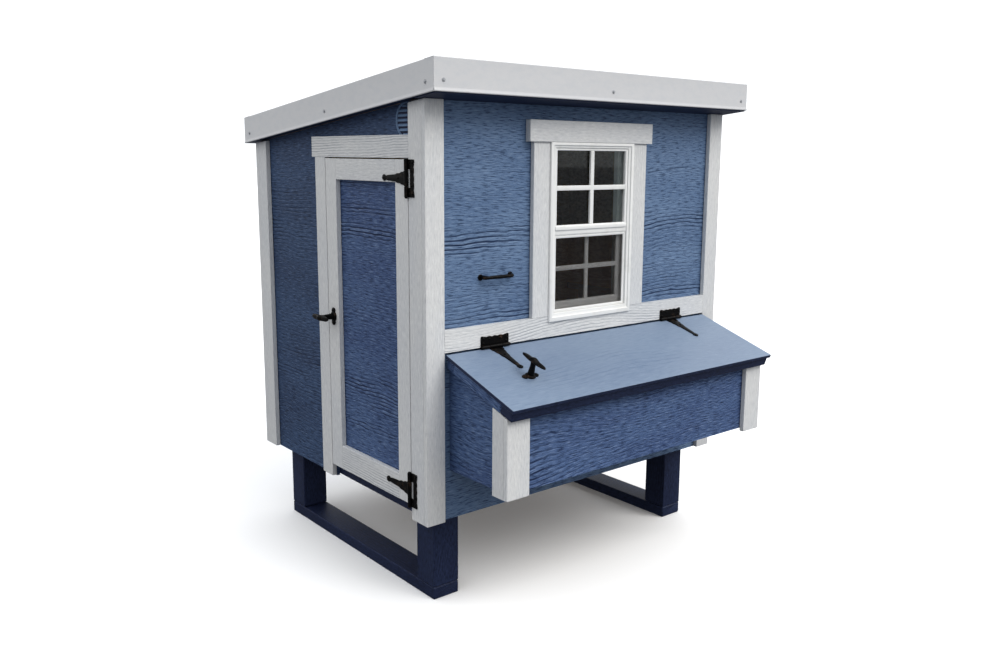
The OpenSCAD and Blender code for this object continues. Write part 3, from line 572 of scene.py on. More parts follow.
def rawTimber(name, light, dark, ringScale):
    # bare softwood: growth rings as stretched waves, fine pores and a few darker streaks
    f = Finish(name, Metallic=0.0, Specular_IOR_Level=0.3)
    spot = f.node("TexCoord", None, None, "Object")
    warp = f.noise(spot, (3, 3, 3), 2.0)
    rings = f.noise(spot, ringScale, 3.0, 0.55) + warp * 0.4
    pores = f.noise(spot, tuple(6 * s for s in ringScale), 2.0)
    colour = f.mix(rings.between(0.55, 0.85), light, dark)
    colour = f.mix(pores.between(0.55, 0.75) * 0.35, colour, dark)
    f.wear("Base Color", colour)
    f.wear("Roughness", 0.62 + pores * 0.2)
    f.bump(rings + pores * 0.5, 0.35, 0.5 * mm)
    return f.material


def coatedMetal(name, pale):
    # coated sheet: faint oil-canning, dust and small scuffs in the coat
    f = Finish(name, Metallic=0.0, Specular_IOR_Level=0.5, Coat_Weight=0.25, Coat_Roughness=0.2)
    spot = f.node("TexCoord", None, None, "Object")
    ripple = f.noise(spot, (5, 5, 9), 1.0)
    dust = f.noise(spot, (28, 28, 60), 4.0, 0.6)
    scuff = f.noise(spot, (400, 400, 60), 2.0)
    colour = f.mix(dust.between(0.4, 0.7), tint(pale, pale, pale + 1), tint(pale - 4, pale - 3, pale - 1))
    colour = f.mix(scuff.between(0.68, 0.78) * 0.3, colour, tint(pale - 19, pale - 17, pale - 13))
    f.wear("Base Color", colour)
    f.wear("Roughness", 0.26 + dust * 0.14)
    f.bump(ripple, 0.3, 4 * mm)
    return f.material


def blackIron():
    # black baked paint over pressed iron: slight orange peel, and brown rubs that are partly wear where hands
    # and weather reach and partly painted highlight for the sky's glint
    f = Finish("blackIron", Specular_IOR_Level=0.16, Coat_Weight=0.03, Coat_Roughness=0.3)
    spot = f.node("TexCoord", None, None, "Object")
    peel = f.noise(spot, (900, 900, 900), 2.0)
    rubAndGlint = f.noise(spot, (60, 60, 60), 4.0, 0.65).between(0.54, 0.72)
    # the brown rubs: partly wear, partly painted highlight
    f.wear("Base Color", f.mix(rubAndGlint * 0.75, tint(9, 8, 8), tint(80, 63, 50)))
    f.wear("Metallic", rubAndGlint * 0.35)
    f.wear("Roughness", 0.30 + peel * 0.12 + rubAndGlint * 0.06)
    f.bump(peel, 0.3, 0.15 * mm)
    return f.material


def vinyl():
    # extruded white plastic: almost even, with faint draw lines and a little grime
    f = Finish("whiteVinyl", Metallic=0.0, Specular_IOR_Level=0.5)
    spot = f.node("TexCoord", None, None, "Object")
    grime = f.noise(spot, (22, 22, 22), 4.0, 0.6)
    fine = f.noise(spot, (700, 700, 700), 2.0)
    f.wear("Base Color", f.mix(grime.between(0.5, 0.75) * 0.5, tint(230, 230, 228), tint(212, 211, 206)))
    f.wear("Roughness", 0.28 + grime * 0.14)
    f.bump(fine, 0.08, 0.1 * mm)
    return f.material


def clearGlass():
    # window glass, clear but for a light haze
    f = Finish("clearGlass", Base_Color=tint(232, 240, 240), Metallic=0.0, IOR=1.46, Transmission_Weight=1.0)
    spot = f.node("TexCoord", None, None, "Object")
    f.wear("Roughness", f.noise(spot, (30, 30, 30), 3.0).between(0.45, 0.8) * 0.06 + 0.01)
    return f.material


def screenThread():
    # dark woven thread, a little mottled
    f = Finish("screenThread", Metallic=0.0, Specular_IOR_Level=0.3)
    spot = f.node("TexCoord", None, None, "Object")
    speck = f.noise(spot, (300, 300, 300), 2.0)
    f.wear("Base Color", f.mix(speck, tint(40, 35, 34), tint(62, 55, 52)))
    f.wear("Roughness", 0.6 + speck * 0.2)
    return f.material


def screwPaint():
    # pale powder coat, chipped to bare steel in specks
    f = Finish("screwPaint", Specular_IOR_Level=0.5)
    spot = f.node("TexCoord", None, None, "Object")
    chip = f.noise(spot, (500, 500, 500), 3.0, 0.6).between(0.62, 0.72)
    f.wear("Base Color", f.mix(chip * 0.6, tint(166, 168, 171), tint(110, 112, 116)))
    f.wear("Metallic", chip * 0.8)
    f.wear("Roughness", 0.3 + chip * 0.15)
    return f.material


def closureFoam():
    # grey closed-cell foam, speckled with pores
    f = Finish("closureFoam", Metallic=0.0, Specular_IOR_Level=0.2)
    spot = f.node("TexCoord", None, None, "Object")
    pores = f.noise(spot, (900, 900, 900), 2.0)
    f.wear("Base Color", f.mix(pores.between(0.35, 0.6), tint(58, 60, 63), tint(92, 94, 97)))
    f.wear("Roughness", 0.75 + pores * 0.2)
    f.bump(pores, 0.6, 0.4 * mm)
    return f.material


def zincPlate():
    # zinc coat with a faint bloom
    f = Finish("zincPlate", Specular_IOR_Level=0.5)
    spot = f.node("TexCoord", None, None, "Object")
    bloom = f.noise(spot, (260, 260, 260), 3.0, 0.6)
    f.wear("Metallic", 0.95 - bloom * 0.2)
    f.wear("Base Color", f.mix(bloom, tint(190, 192, 196), tint(150, 152, 156)))
    f.wear("Roughness", 0.28 + bloom * 0.25)
    return f.material


finishes = {name: grainPaint(name + "Paint", look) for name, look in paints.items()}
finishes["softwood"] = rawTimber("bareSoftwood", tint(214, 182, 136), tint(178, 138, 90), (24, 24, 120))
finishes["plywood"] = rawTimber("barePlywood", tint(206, 172, 126), tint(170, 132, 88), (9, 70, 120))
finishes["metal"] = coatedMetal("coatedEdgingMetal", 195)
finishes["roofMetal"] = coatedMetal("coatedRoofMetal", 166)
finishes["iron"] = blackIron()
finishes["vinyl"] = vinyl()
finishes["glass"] = clearGlass()
finishes["screen"] = screenThread()
finishes["zinc"] = zincPlate()
finishes["screw"] = screwPaint()
finishes["foam"] = closureFoam()
print("materials made:", len(finishes))


def dress(names, finish):
    # gives CAD nodes a finish in place of their flat colour
    for name in names:
        obj = nodes[name]
        if not obj.material_slots:
            obj.data.materials.append(finish)
        for slot in obj.material_slots:
            slot.material = finish


dress(["wall_frame_front", "wall_frame_back", "wall_frame_left", "wall_frame_right", "rafters",
       "roost_cleats"], finishes["softwood"])
dress(["floor_board", "roof_deck", "nest_dividers"], finishes["plywood"])
dress(["sub_fascia", "soffit_board"], finishes["navy"])
dress(["door_cam", "lid_cam"], finishes["zinc"])
dress(["window_upper_glass", "window_lower_glass"], finishes["glass"])


def remake(node, name, finish, slot, look, body="house", turn=None, top=None, seed=1, level=None):
    # one grained board in each solid of a node; boards that lie down may have a look of their own
    boards = []
    for k, (low, high) in enumerate(solidsOf(node, turn)):
        lying = level is not None and np.argmax(high - low) != 2
        boards.append(board(low, high, level if lying else look, seed + k, turn, top))
    return piece(name, boards, finishes[finish], body, [node])


def underRoof(y):
    # top of the corner boards, which follow the roof
    return roofZ(y) - house["boardGap"]


def underLid(y):
    # top of the nest box's boards, which follow the lid
    pitch = house["lidPitch"]
    return house["lidHinge"] + math.tan(pitch) * (y - front) - house["lidDeep"] / math.cos(pitch)


for node, name, body, look, top, seed in (
        ("skid_left", "skidLeft", "house", timberLook, None, 11),
        ("skid_right", "skidRight", "house", timberLook, None, 12),
        ("posts_left", "postsLeft", "house", timberLook, None, 13),
        ("posts_right", "postsRight", "house", timberLook, None, 15),
        ("floor_frame", "floorFrame", "house", timberLook, None, 17),
        ("corner_boards_front", "cornerBoardsFront", "house", trimLook, underRoof, 23),
        ("corner_boards_back", "cornerBoardsBack", "house", trimLook, underRoof, 27),
        ("window_casing", "windowCasing", "house", trimLook, None, 31),
        ("door_casing", "doorCasing", "house", trimLook, None, 34),
        ("door_boards", "doorBoards", "door", trimLook, None, 36)):
    paint = "navy" if look is timberLook else "white"
    lying = None if paint == "navy" or top else railLook
    remake(node, name, paint, paint + "_paint", look, body=body, top=top, seed=seed, level=lying)
pairs = solidsOf("nest_corner_boards")
fronts = [(low, high) for low, high in pairs if high[1] - low[1] < 20 * mm]
flanks = [(low, high) for low, high in pairs if high[1] - low[1] >= 20 * mm]
nestFace, lapped = min(low[1] for low, _ in pairs), []
for k, (low, high) in enumerate(fronts):
    side = min(flanks, key=lambda f: abs(f[0][0] - low[0]))
    wide = (min(low[0], side[0][0]), nestFace, low[2])
    far = (max(high[0], side[1][0]), nestFace + house["trim"], high[2])
    lapped.append(board(wide, far, trimLook, 40 + k, None, underLid))
    behind = (side[0][0], nestFace + house["trim"] + 0.05 * mm, side[0][2]), side[1]
    lapped.append(board(*behind, trimLook, 42 + k, None, underLid))
piece("nestCornerBoards", lapped, finishes["white"], "house", ["nest_corner_boards"])
remake("ramp_casing", "rampCasing", "white", "white_paint", trimLook, seed=44, level=railLook)
remake("roost_bars", "roostBars", "softwood", "raw_wood", timberLook, seed=48)
rails = [board(low, high, timberLook, 50 + k, lidFrame)
         for k, (low, high) in enumerate(solidsOf("lid_frame", lidFrame))]
rails.sort(key=lambda rail: rail["points"][:, 1].mean())
# painted shade: the front rail wears the dark navy, the sides the siding blue, though the frame is one paint
piece("lidFrameFront", rails[:1], finishes["navy"], "lid", ["lid_frame"])
# painted shade: the side rails wear the darker copy of the siding paint
piece("lidFrameSides", rails[1:], finishes["sidingMid"], "lid", ())
lidBoards = [board(low, high, lidLook, 55 + k, lidFrame)
             for k, (low, high) in enumerate(solidsOf("lid_panel", lidFrame))]
for p in lidBoards:
    corner = p["points"][p["quads"]]
    facing = np.cross(corner[:, 2] - corner[:, 0], corner[:, 3] - corner[:, 1])
    upright = np.abs(facing @ pitchZ) < 0.5 * np.linalg.norm(facing, axis=1)
    p["bare"] = np.append(upright.astype(int), np.ones(len(p["caps"]), int))    # the edges get the navy paint, as painted shade
# the lid's top wears the paler copy of the blue paint, as painted light
piece("lidPanel", lidBoards, finishes["lid"], "lid", ["lid_panel"], bare=finishes["navy"])
print("timbers and trim boards made")


wall = {"levelUpTo": 1.287, "behindEdging": 2.7 * mm}


def wallTop(y):
    # the side sheets' top edge: level up to the door's head, then following the roof
    return np.full(np.shape(y), wall["levelUpTo"]), roofZ(y) + wall["behindEdging"]


winLow, winHigh = corners("window_frame")
nestWay = {"from": (115 * mm, 475.5 * mm, 836 * mm), "wide": 300 * mm, "low": 0.440, "high": 0.660}
nestHoles = [(left + x, left + x + nestWay["wide"], nestWay["low"], nestWay["high"])
             for x in nestWay["from"]]
frontLook = dict(sidingLook, bands=((1.07, 0.045, 1.0), (0.832, 0.03, 0.8), (1.25, 0.012, 0.55),
                                    (0.66, 0.03, 0.7)))
leftLook = dict(sidingLook, bands=((0.62, 0.05, 0.7), (1.15, 0.03, 0.6)))
sides = {"front": ("siding_front", 1, -1, frontLook), "back": ("siding_back", 1, 1, sidingLook)}
for k, (side, (node, normal, way, look)) in enumerate(sides.items()):
    low, high = corners(node)
    holes = [(winLow[0] + 12 * mm, winHigh[0] - 12 * mm, winLow[2] + 14 * mm, winHigh[2] - 13 * mm),
             *nestHoles] if side == "front" else []
    piece("siding" + side.title(), [sheet(low, high, normal, way, look, 61 + k, holes)],
          finishes["siding"], "house", [node], bare=finishes["plywood"])

doorLow, doorHigh = corners("door_boards")
rampLow, rampHigh = corners("ramp_panel")
gap = 3 * mm
ventCentres = [(low + high) / 2 for low, high in solidsOf("vent_louvres")]
vent = (ventCentres[0][1], ventCentres[0][2], 46.5 * mm)
sideHoles = {
    "left": ("siding_left", -1, (doorLow[1] - gap, doorHigh[1] + gap, 0.2, doorHigh[2] + gap)),
    "right": ("siding_right", 1, (rampLow[1] - gap, rampHigh[1] + gap, rampLow[2] - gap, rampHigh[2] + gap)),
}
for k, (side, (node, way, hole)) in enumerate(sideHoles.items()):
    low, high = corners(node)
    # the left wall wears the darkest copy of the siding paint, as painted shade
    piece("siding" + side.title(), [sheet(low, high, 0, way, leftLook, 65 + k, [hole], [vent], wallTop)],
          finishes["sidingDeep" if way < 0 else "siding"], "house", [node],
          bare=finishes["plywood"])

low, high = corners("door_panel")
shaft = joints["door_handle_turn"]["pos_m"]
doorLook = dict(sidingLook, pitch=11 * mm, faint=0.22, spread=0.75, wander=2.6,
                bands=((1.125, 0.02, 0.9), (1.06, 0.03, 1.0), (0.86, 0.03, 0.6), (0.45, 0.04, 0.6)))
# painted shade: the door panel wears the darker copy of the siding paint
piece("doorPanel", [sheet(low, high, 0, -1, doorLook, 69, (), [(shaft[1], shaft[2], 7.5 * mm)])],
      finishes["sidingMid"], "door", ["door_panel"])

low, high = corners("band_board")
notch = (winLow[0], winHigh[0], winLow[2], high[2] + 1)
piece("bandBoard", [sheet(low, high, 1, -1, railLook, 71, [notch])], finishes["white"], "house",
      ["band_board"])
print("siding made")

# Nest box: three sheets, the floor and the catch under the lid
low, high = corners("nest_box")
t = house["sheet"]
nestLook = dict(sidingLook, pitch=12 * mm, faint=0.42, spread=0.85, wander=2.8, zones=9)
nestSideLook = dict(sidingLook, faint=0.18, spread=0.45)
frontTop = underLid(low[1])


def nestTop(y):
    # the nest box's side edge: a low start at the floor, then following the lid
    return np.full(np.shape(y), low[2] + 0.05), underLid(y)


frontSheet = sheet(low, (high[0], low[1] + t, frontTop), 1, -1, nestLook, 73)
sideSheets = [sheet((x, low[1] + t + 0.1 * mm, low[2]), (x + t, high[1], high[2]), 0, way, nestSideLook,
                    74 + way, (), (), nestTop) for x, way in ((low[0], -1), (high[0] - t, 1))]
# painted shade: the nest box's sheets wear the darker copy of the siding paint
piece("nestSheets", [frontSheet, *sideSheets], finishes["sidingMid"], "house", ["nest_box"],
      bare=finishes["plywood"])
hair = 0.1 * mm
within = low[1] + t + hair
nestFloor = board((low[0] + t + hair, within, low[2]), (high[0] - t - hair, high[1], low[2] + 12 * mm),
                  dict(timberLook, arris=0.5 * mm, depth=0.2 * mm), 77)
piece("nestFloor", [nestFloor], finishes["plywood"], "house", ())
catch = {"half": 35 * mm, "thick": 10 * mm, "deep": 20 * mm, "x": joints["lid_handle_turn"]["pos_m"][0],
         "top": underLid(within) - 2 * mm}
bar = block((catch["x"] - catch["half"], within, catch["top"] - catch["thick"]),
            (catch["x"] + catch["half"], within + catch["deep"], catch["top"]), 1 * mm)
piece("lidCatch", [bar], finishes["softwood"], "house", ())
print("nest box made")


def ventCover(x, way):
    # a low rounded flange turned about the hole, and seven hooded slots between: each hood is a bent lip
    # carried across the hole, growing in from its ends
    y, z, r = vent
    flange = [(r - 3 * mm, -1 * mm), (r + 5 * mm, -1 * mm), (r + 5 * mm, 0.8 * mm), (r + 4 * mm, 1.6 * mm),
              (r - 2 * mm, 1.6 * mm), (r - 3 * mm, 0.8 * mm)]
    angle = np.linspace(0, 2 * np.pi, 48, endpoint=False)
    flange = np.array(flange)
    rings = np.empty((48, len(flange), 3))
    rings[..., 0] = x + way * flange[None, :, 1]
    rings[..., 1] = y + flange[None, :, 0] * np.cos(angle)[:, None]
    rings[..., 2] = z + flange[None, :, 0] * np.sin(angle)[:, None]
    parts = [outward(carried(rings, True))]
    bow = np.radians(np.linspace(0, 90, 6))
    lip = np.concatenate([np.stack([np.sin(bow) * 7, np.cos(bow) * 8], -1),
                          np.stack([np.sin(bow[::-1]) * 5.8, np.cos(bow[::-1]) * 6.8], -1)]) * mm
    for i in range(-3, 4):
        slotZ = z + i * 13 * mm
        half = math.sqrt((r - 5 * mm) ** 2 - (i * 13 * mm) ** 2)
        span = np.array([-half, -half + 3 * mm, half - 3 * mm, half])
        grow = np.array([0.15, 1, 1, 0.15])[:, None]
        sections = np.empty((4, len(lip), 3))
        sections[..., 0] = x + way * (lip[None, :, 0] * grow - 1.5 * mm)
        sections[..., 1] = y + span[:, None]
        sections[..., 2] = slotZ - 4 * mm + lip[None, :, 1] * grow
        parts.append(outward(carried(sections)))
    return parts


piece("ventCovers", [p for centre, way in zip(ventCentres, (-1, 1))
                     for p in ventCover(centre[0] + way * 5.5 * mm, way)],
      finishes["siding"], "house", ())
dress(["vent_louvres"], finishes["navy"])


roof = {"height": 87.5 * mm, "flange": 44 * mm, "metal": 1.0 * mm, "hem": 11 * mm, "bend": 2.2 * mm,
        "proud": 2.4 * mm, "waves": 0.5 * mm}


def edgingProfile():
    # folded edging as (outwards, up): flange, rounded bend, fascia, and a hem folded back outside
    bend = np.radians(np.linspace(90, 0, 6))
    r, h, m = roof["bend"], roof["height"], roof["metal"]
    outer = [(-roof["flange"], h)] + [(-r + r * math.cos(a), h - r + r * math.sin(a)) for a in bend]
    hemTop = roof["hem"]
    hem = [(0, hemTop + 0.5 * mm), (0.3 * mm, hemTop - 0.8 * mm), (roof["proud"] * 0.85, 4 * mm),
           (roof["proud"], 3 * mm), (roof["proud"], 1.2 * mm), (roof["proud"] * 0.6, 0.1 * mm), (0, 0),
           (-m * 0.8, 0.8 * mm)]
    inner = [(-m, hemTop), (-m, h - r), (-r, h - m), (-roof["flange"], h - m)]
    return np.array(outer + hem + inner)


def edging(start, end, out, seed, lift=0.0):
    # the folded profile carried along a straight run, the fascia bowing slightly in and out
    profile = edgingProfile()
    start, end, out = (np.array(v, float) for v in (start, end, out))
    share = np.linspace(0, 1, 41)
    path = start + (end - start) * share[:, None]
    along = share * np.linalg.norm(end - start)
    bow = roof["waves"] * smoothField(along[:, None] * 4, profile[None, :, 1] * 9, seed)
    fromTop = roof["height"] - profile[:, 1]
    middle = np.clip(profile[:, 1] / (20 * mm), 0, 1) * np.clip(fromTop / (15 * mm), 0, 1)
    push = profile[None, :, 0] - np.abs(bow) * middle * (profile[None, :, 0] > -roof["bend"])
    flange = (profile[:, 0] < -roof["bend"]) & (profile[:, 1] > roof["height"] / 2)
    rings = path[:, None] + push[..., None] * out
    rings[..., 2] += profile[None, :, 1] - lift * flange[None]
    slope = house["roofFall"] * out[1]
    rings[..., 2] -= slope * push
    return outward(carried(rings))


y0, y1 = front - house["overFront"], back + house["overBack"]
x0, x1 = left - house["overSide"], right + house["overSide"]
clear = 1.2 * mm                            # side runs stop short of the front and back ones
runs = [edging((x0, y, roofZ(y)), (x1, y, roofZ(y)), (0, way, 0), seed)
        for y, way, seed in ((y0, -1, 81), (y1, 1, 82))]
for x, way, seed in ((x0, -1, 83), (x1, 1, 84)):
    near, far = y0 + clear, y1 - clear
    runs.append(edging((x, near, roofZ(near)), (x, far, roofZ(far)), (way, 0, 0), seed, 0.5 * mm))
piece("roofEdging", runs, finishes["metal"], "house", ["roof_trim"], 50)

# Ribbed sheet: one wide rib and two low stiffening beads in each bay
ribbed = {"bays": 6, "rib": 7.5 * mm, "bead": 1.6 * mm, "beadFrom": 26 * mm, "rise": 77.4 * mm,
          "metal": 0.7 * mm}
low, high = corners("roof_sheet")
bay = (high[0] - low[0]) / ribbed["bays"]
creases = [low[0] + i * bay + np.array([-9, -5, 5, 9]) * mm for i in range(1, ribbed["bays"])]
x = np.unique(np.concatenate([np.linspace(low[0], high[0], 240)] + creases))
phase = np.abs((x - low[0] + bay / 2) % bay - bay / 2)
wide = np.clip((9 * mm - phase) / (4 * mm), 0, 1) * (x > low[0] + bay / 2) * (x < high[0] - bay / 2)
bead = np.clip(1 - np.abs(np.abs((x - low[0]) % bay - bay / 2) - ribbed["beadFrom"]) / (5 * mm), 0, 1)
height = ribbed["rib"] * wide + ribbed["bead"] * bead
yy = np.array([y0 + 2 * mm, y0 + 46 * mm, y0 + 54 * mm, y1 - 54 * mm, y1 - 46 * mm, y1 - 2 * mm])
raised = np.array([0, 0, 1, 1, 0, 0])
base = roofZ(yy) + ribbed["rise"]
topFace = base[:, None] + ribbed["metal"] + height[None] * raised[:, None]
under = base[:, None] + height[None] * raised[:, None]
sections = np.empty((len(yy), 2 * len(x), 3))
sections[..., 0] = np.concatenate([x, x[::-1]])
sections[..., 1] = yy[:, None]
sections[..., 2] = np.concatenate([topFace, under[:, ::-1]], 1)
strips, foam = [], {"near": 30 * mm, "far": 41 * mm, "low": 79.2 * mm, "high": 86.2 * mm}
for start, end, way in (((x0, y0), (x1, y0), (0, 1)), ((x0, y1), (x1, y1), (0, -1)),
                        ((x0, y0), (x0, y1), (1, 0)), ((x1, y0), (x1, y1), (-1, 0))):
    start, end, way = np.array(start), np.array(end), np.array(way)
    ahead = (end - start) / np.linalg.norm(end - start) * foam["far"]
    corner = np.array([(foam["near"], foam["low"]), (foam["far"], foam["low"]), (foam["far"], foam["high"]),
                       (foam["near"], foam["high"])])
    rings = np.empty((2, 4, 3))
    for k, spot in enumerate((start + ahead, end - ahead)):
        rings[k, :, :2] = spot + way * corner[:, :1]
        rings[k, :, 2] = roofZ(rings[k, :, 1]) + corner[:, 1]
    strips.append(outward(carried(rings)))
piece("closureStrips", strips, finishes["foam"], "house")
piece("roofSheet", [outward(carried(sections))], finishes["roofMetal"], "house", ["roof_sheet"],
      25)


def hexScrew(matrix):
    # flanged hexagon head over a rubber-edged washer, standing on the local XY plane
    washer = turned([(0.1 * mm, 0), (5.4 * mm, 0), (5.4 * mm, 0.7 * mm), (5.0 * mm, 1.1 * mm),
                     (0.1 * mm, 1.1 * mm)], 28)
    head = turned([(0.1 * mm, 1.0 * mm), (3.5 * mm, 1.0 * mm), (3.5 * mm, 2.5 * mm), (3.0 * mm, 2.95 * mm),
                   (0.1 * mm, 2.95 * mm)], 6)
    return [at(washer, matrix), at(head, matrix)]


def panScrew(matrix, r=3.6 * mm, rise=1.8 * mm):
    # domed head with a cross-shaped recess pressed into it
    share = np.linspace(1, 0.02, 9)
    angle = np.linspace(0, 2 * np.pi, 24, endpoint=False)
    rings = np.empty((10, 24, 3))
    radius = np.concatenate([[1.0], share]) * r
    rings[..., 0] = radius[:, None] * np.cos(angle)
    rings[..., 1] = radius[:, None] * np.sin(angle)
    dome = np.concatenate([[0], rise * np.sqrt(1 - 0.85 * share ** 2)])
    near = np.minimum(np.abs(rings[..., 0]), np.abs(rings[..., 1]))
    cross = (near < 0.14 * r) & (radius[:, None] < 0.62 * r)
    rings[..., 2] = dome[:, None] - cross * 0.5 * rise
    return at(outward(carried(rings)), matrix)


roofScrews = []
for low, high in solidsOf("roof_screws"):
    centre, size = (low + high) / 2, high - low
    axis = int(np.argmin(size))
    way = np.zeros(3)
    way[axis] = math.copysign(1, centre[axis])
    base = centre - way * size[axis] / 2
    across = np.cross(way, (0, 0, 1))
    roofScrews += hexScrew(place(base, across, np.cross(way, across), way))
piece("roofScrews", roofScrews, finishes["screw"], "house", ["roof_screws"])
print("roof made")


hinge = {"pinRise": 5.9 * mm, "knuckle": 5.5 * mm, "bore": 3.05 * mm, "pin": 3.0 * mm, "leaf": 2.5 * mm,
         "half": 51 * mm, "strap": 22 * mm, "slot": 25.5 * mm, "slotEnd": 13.5 * mm, "edge": 30 * mm,
         "length": 127 * mm, "tip": 9,
         # half the strap's width at each distance from the pin, in millimetres
         "taper": ([0, 15, 19, 32, 36, 52, 60, 104, 106], [22, 22, 18, 17, 14, 13, 10, 7.2, 7.2]),
         # screws in millimetres: across and out from the pin, and on the strap their rise
         "plateScrews": ((-42, 24), (42, 24), (-20, 22), (20, 22), (-42, 10.5), (42, 10.5)),
         "strapScrews": ((0, 118, 0.5), (-11, 14, 0), (11, 14, 0), (0, 46, 0.4))}


def hollowKnuckle(a, b):
    # a rolled barrel about the local X axis, its rims softened
    r, k = hinge["bore"], hinge["knuckle"]
    soft = 0.7 * mm
    outline = np.array([(a, r), (a, k - soft), (a + soft, k), (b - soft, k), (b, k - soft), (b, r)])
    angle = np.linspace(0, 2 * np.pi, 32, endpoint=False)
    rings = np.empty((32, len(outline), 3))
    rings[..., 0] = outline[None, :, 0]
    rings[..., 1] = outline[None, :, 1] * np.cos(angle)[:, None]
    rings[..., 2] = outline[None, :, 1] * np.sin(angle)[:, None]
    return outward(carried(rings, True))


def platePart(slotted):
    # the fixed leaf: from the barrel, or from the slot's end, out to a scalloped edge with two end lobes
    half = hinge["half"]
    u = np.unique(np.concatenate([np.linspace(-half, half, 69), [-hinge["slot"] - 0.1 * mm, -hinge["slot"],
                                                                 hinge["slot"], hinge["slot"] + 0.1 * mm]]))
    reach = np.abs(u) / half
    scallop = 2.2 * mm * np.abs(np.cos(u / half * 2.5 * np.pi))
    lobe = np.clip((reach - 0.78) / 0.06, 0, 1) * 3.5 * mm
    cut = np.clip((reach - 0.94) / 0.06, 0, 1) ** 2 * 2.5 * mm
    edge = hinge["edge"] - 1.5 * mm + np.maximum(scallop, lobe) - cut
    start = np.where(slotted & (np.abs(u) <= hinge["slot"]), hinge["slotEnd"], 0.5 * mm)
    soft = 0.8 * mm
    z0 = -hinge["pinRise"]
    loops, _ = roundRings(np.stack([start, np.full(len(u), z0)], -1),
                          np.stack([edge, np.full(len(u), z0 + hinge["leaf"])], -1), soft, (6, 1), 3)
    rings = np.concatenate([np.broadcast_to(u[:, None, None], (*loops.shape[:2], 1)), loops], -1)
    return outward(carried(rings))


def strapPart():
    # the moving leaf: a stepped taper down to a narrow neck and a round tip
    radius = hinge["tip"]
    s = np.concatenate([np.linspace(0.5, 106, 60),
                        118 + radius * np.sin(np.radians(np.linspace(-80, 90, 18)))]) * mm
    taper = np.interp(s / mm, *hinge["taper"])
    tip = np.sqrt(np.maximum(radius ** 2 - (s / mm - (hinge["length"] / mm - radius)) ** 2, 0.4))
    half = np.where(s > 104 * mm, np.maximum(tip, np.where(s < 112 * mm, 6, 0)), taper) * mm
    rise = hinge["leaf"] + 0.5 * mm * np.clip((s / mm - 106) / 4, 0, 1)
    z0 = -hinge["pinRise"]
    soft = np.minimum(0.8 * mm, half * 0.45)
    loops, _ = roundRings(np.stack([-half, np.full(len(s), z0)], -1), np.stack([half, z0 + rise], -1), soft,
                          (6, 1), 3)
    rings = np.empty((*loops.shape[:2], 3))
    rings[..., 0], rings[..., 1], rings[..., 2] = loops[..., 0], -s[:, None], loops[..., 1]
    # a shallow raised spine runs down the middle
    rings[..., 2] += (loops[..., 1] > z0 + hinge["leaf"] * 0.6) * 0.5 * mm * np.clip(
        1 - np.abs(loops[..., 0]) / (0.5 * half[:, None]), 0, 1)
    return outward(carried(rings))


def hingeParts(matrix, strapMatrix=None):
    # fixed leaf and its barrels, strap and its barrel, and the pin
    slotted = strapMatrix is None
    strapMatrix = matrix if slotted else strapMatrix
    k, s = hinge["half"], hinge["strap"]
    top = -hinge["pinRise"] + hinge["leaf"]
    apart = 0.5 * mm
    barrels = hollowKnuckle(-k, -s - apart), hollowKnuckle(s + apart, k)
    fixed = [at(p, matrix) for p in (platePart(slotted), *barrels)]
    fixed += [panScrew(matrix @ spotAt(x * mm, y * mm, top)) for x, y in hinge["plateScrews"]]
    moving = [at(p, strapMatrix) for p in (strapPart(), hollowKnuckle(-s, s))]
    moving += [panScrew(strapMatrix @ spotAt(x * mm, -y * mm, top + rise * mm))
               for x, y, rise in hinge["strapScrews"]]
    reach = k + apart
    pinTurn = matrix @ place((0, 0, 0), (0, 1, 0), (0, 0, 1), (1, 0, 0))
    headEnd = [(4.2 * mm, reach), (4.2 * mm, reach + 1.6 * mm), (3.2 * mm, reach + 2.5 * mm),
               (0.1 * mm, reach + 2.5 * mm)]
    pin = turned([(r, -x) for r, x in headEnd[::-1]]
                 + [(hinge["pin"], -reach), (hinge["pin"], reach)] + headEnd, 24, pinTurn)
    return fixed, moving, [pin]


def middles(node, axis, turn=None):
    # where the middles of a node's solids lie along one axis
    return sorted({round(float((low[axis] + high[axis]) / 2), 4) for low, high in solidsOf(node, turn)})


doorAxis = np.array(joints["door_swing"]["pos_m"])
lidAxis = np.array(joints["lid_lift"]["pos_m"])
rampAxis = np.array(joints["ramp_drop"]["pos_m"])
hingePlaces = {
    "door": [(place((doorAxis[0], doorAxis[1], z), (0, 0, -1), (0, -1, 0), (-1, 0, 0)), None)
             for z in middles("door_hinge_plates", 2)],
    "lid": [(place((x, lidAxis[1], lidAxis[2]), (1, 0, 0), (0, 0, 1), (0, -1, 0)),
             place((x, lidAxis[1], lidAxis[2]), (1, 0, 0), pitchY, pitchZ))
            for x in middles("lid_hinge_plates", 0)],
    "ramp": [(place((rampAxis[0], y, rampAxis[2]), (0, -1, 0), (0, 0, -1), (1, 0, 0)), None)
             for y in middles("ramp_hinge_plates", 1)],
}
pins = []
for owner, spots in hingePlaces.items():
    fixed, moving = [], []
    for matrix, strapMatrix in spots:
        f, m, p = hingeParts(matrix, strapMatrix)
        fixed, moving, pins = fixed + f, moving + m, pins + p
    piece(owner + "HingePlates", fixed, finishes["iron"], "house", [owner + "_hinge_plates"])
    piece(owner + "HingeStraps", moving, finishes["iron"], owner, [owner + "_hinge_straps"])
piece("hingePins", pins, finishes["iron"], "house", ["hinge_pins"])
print("hinges made")


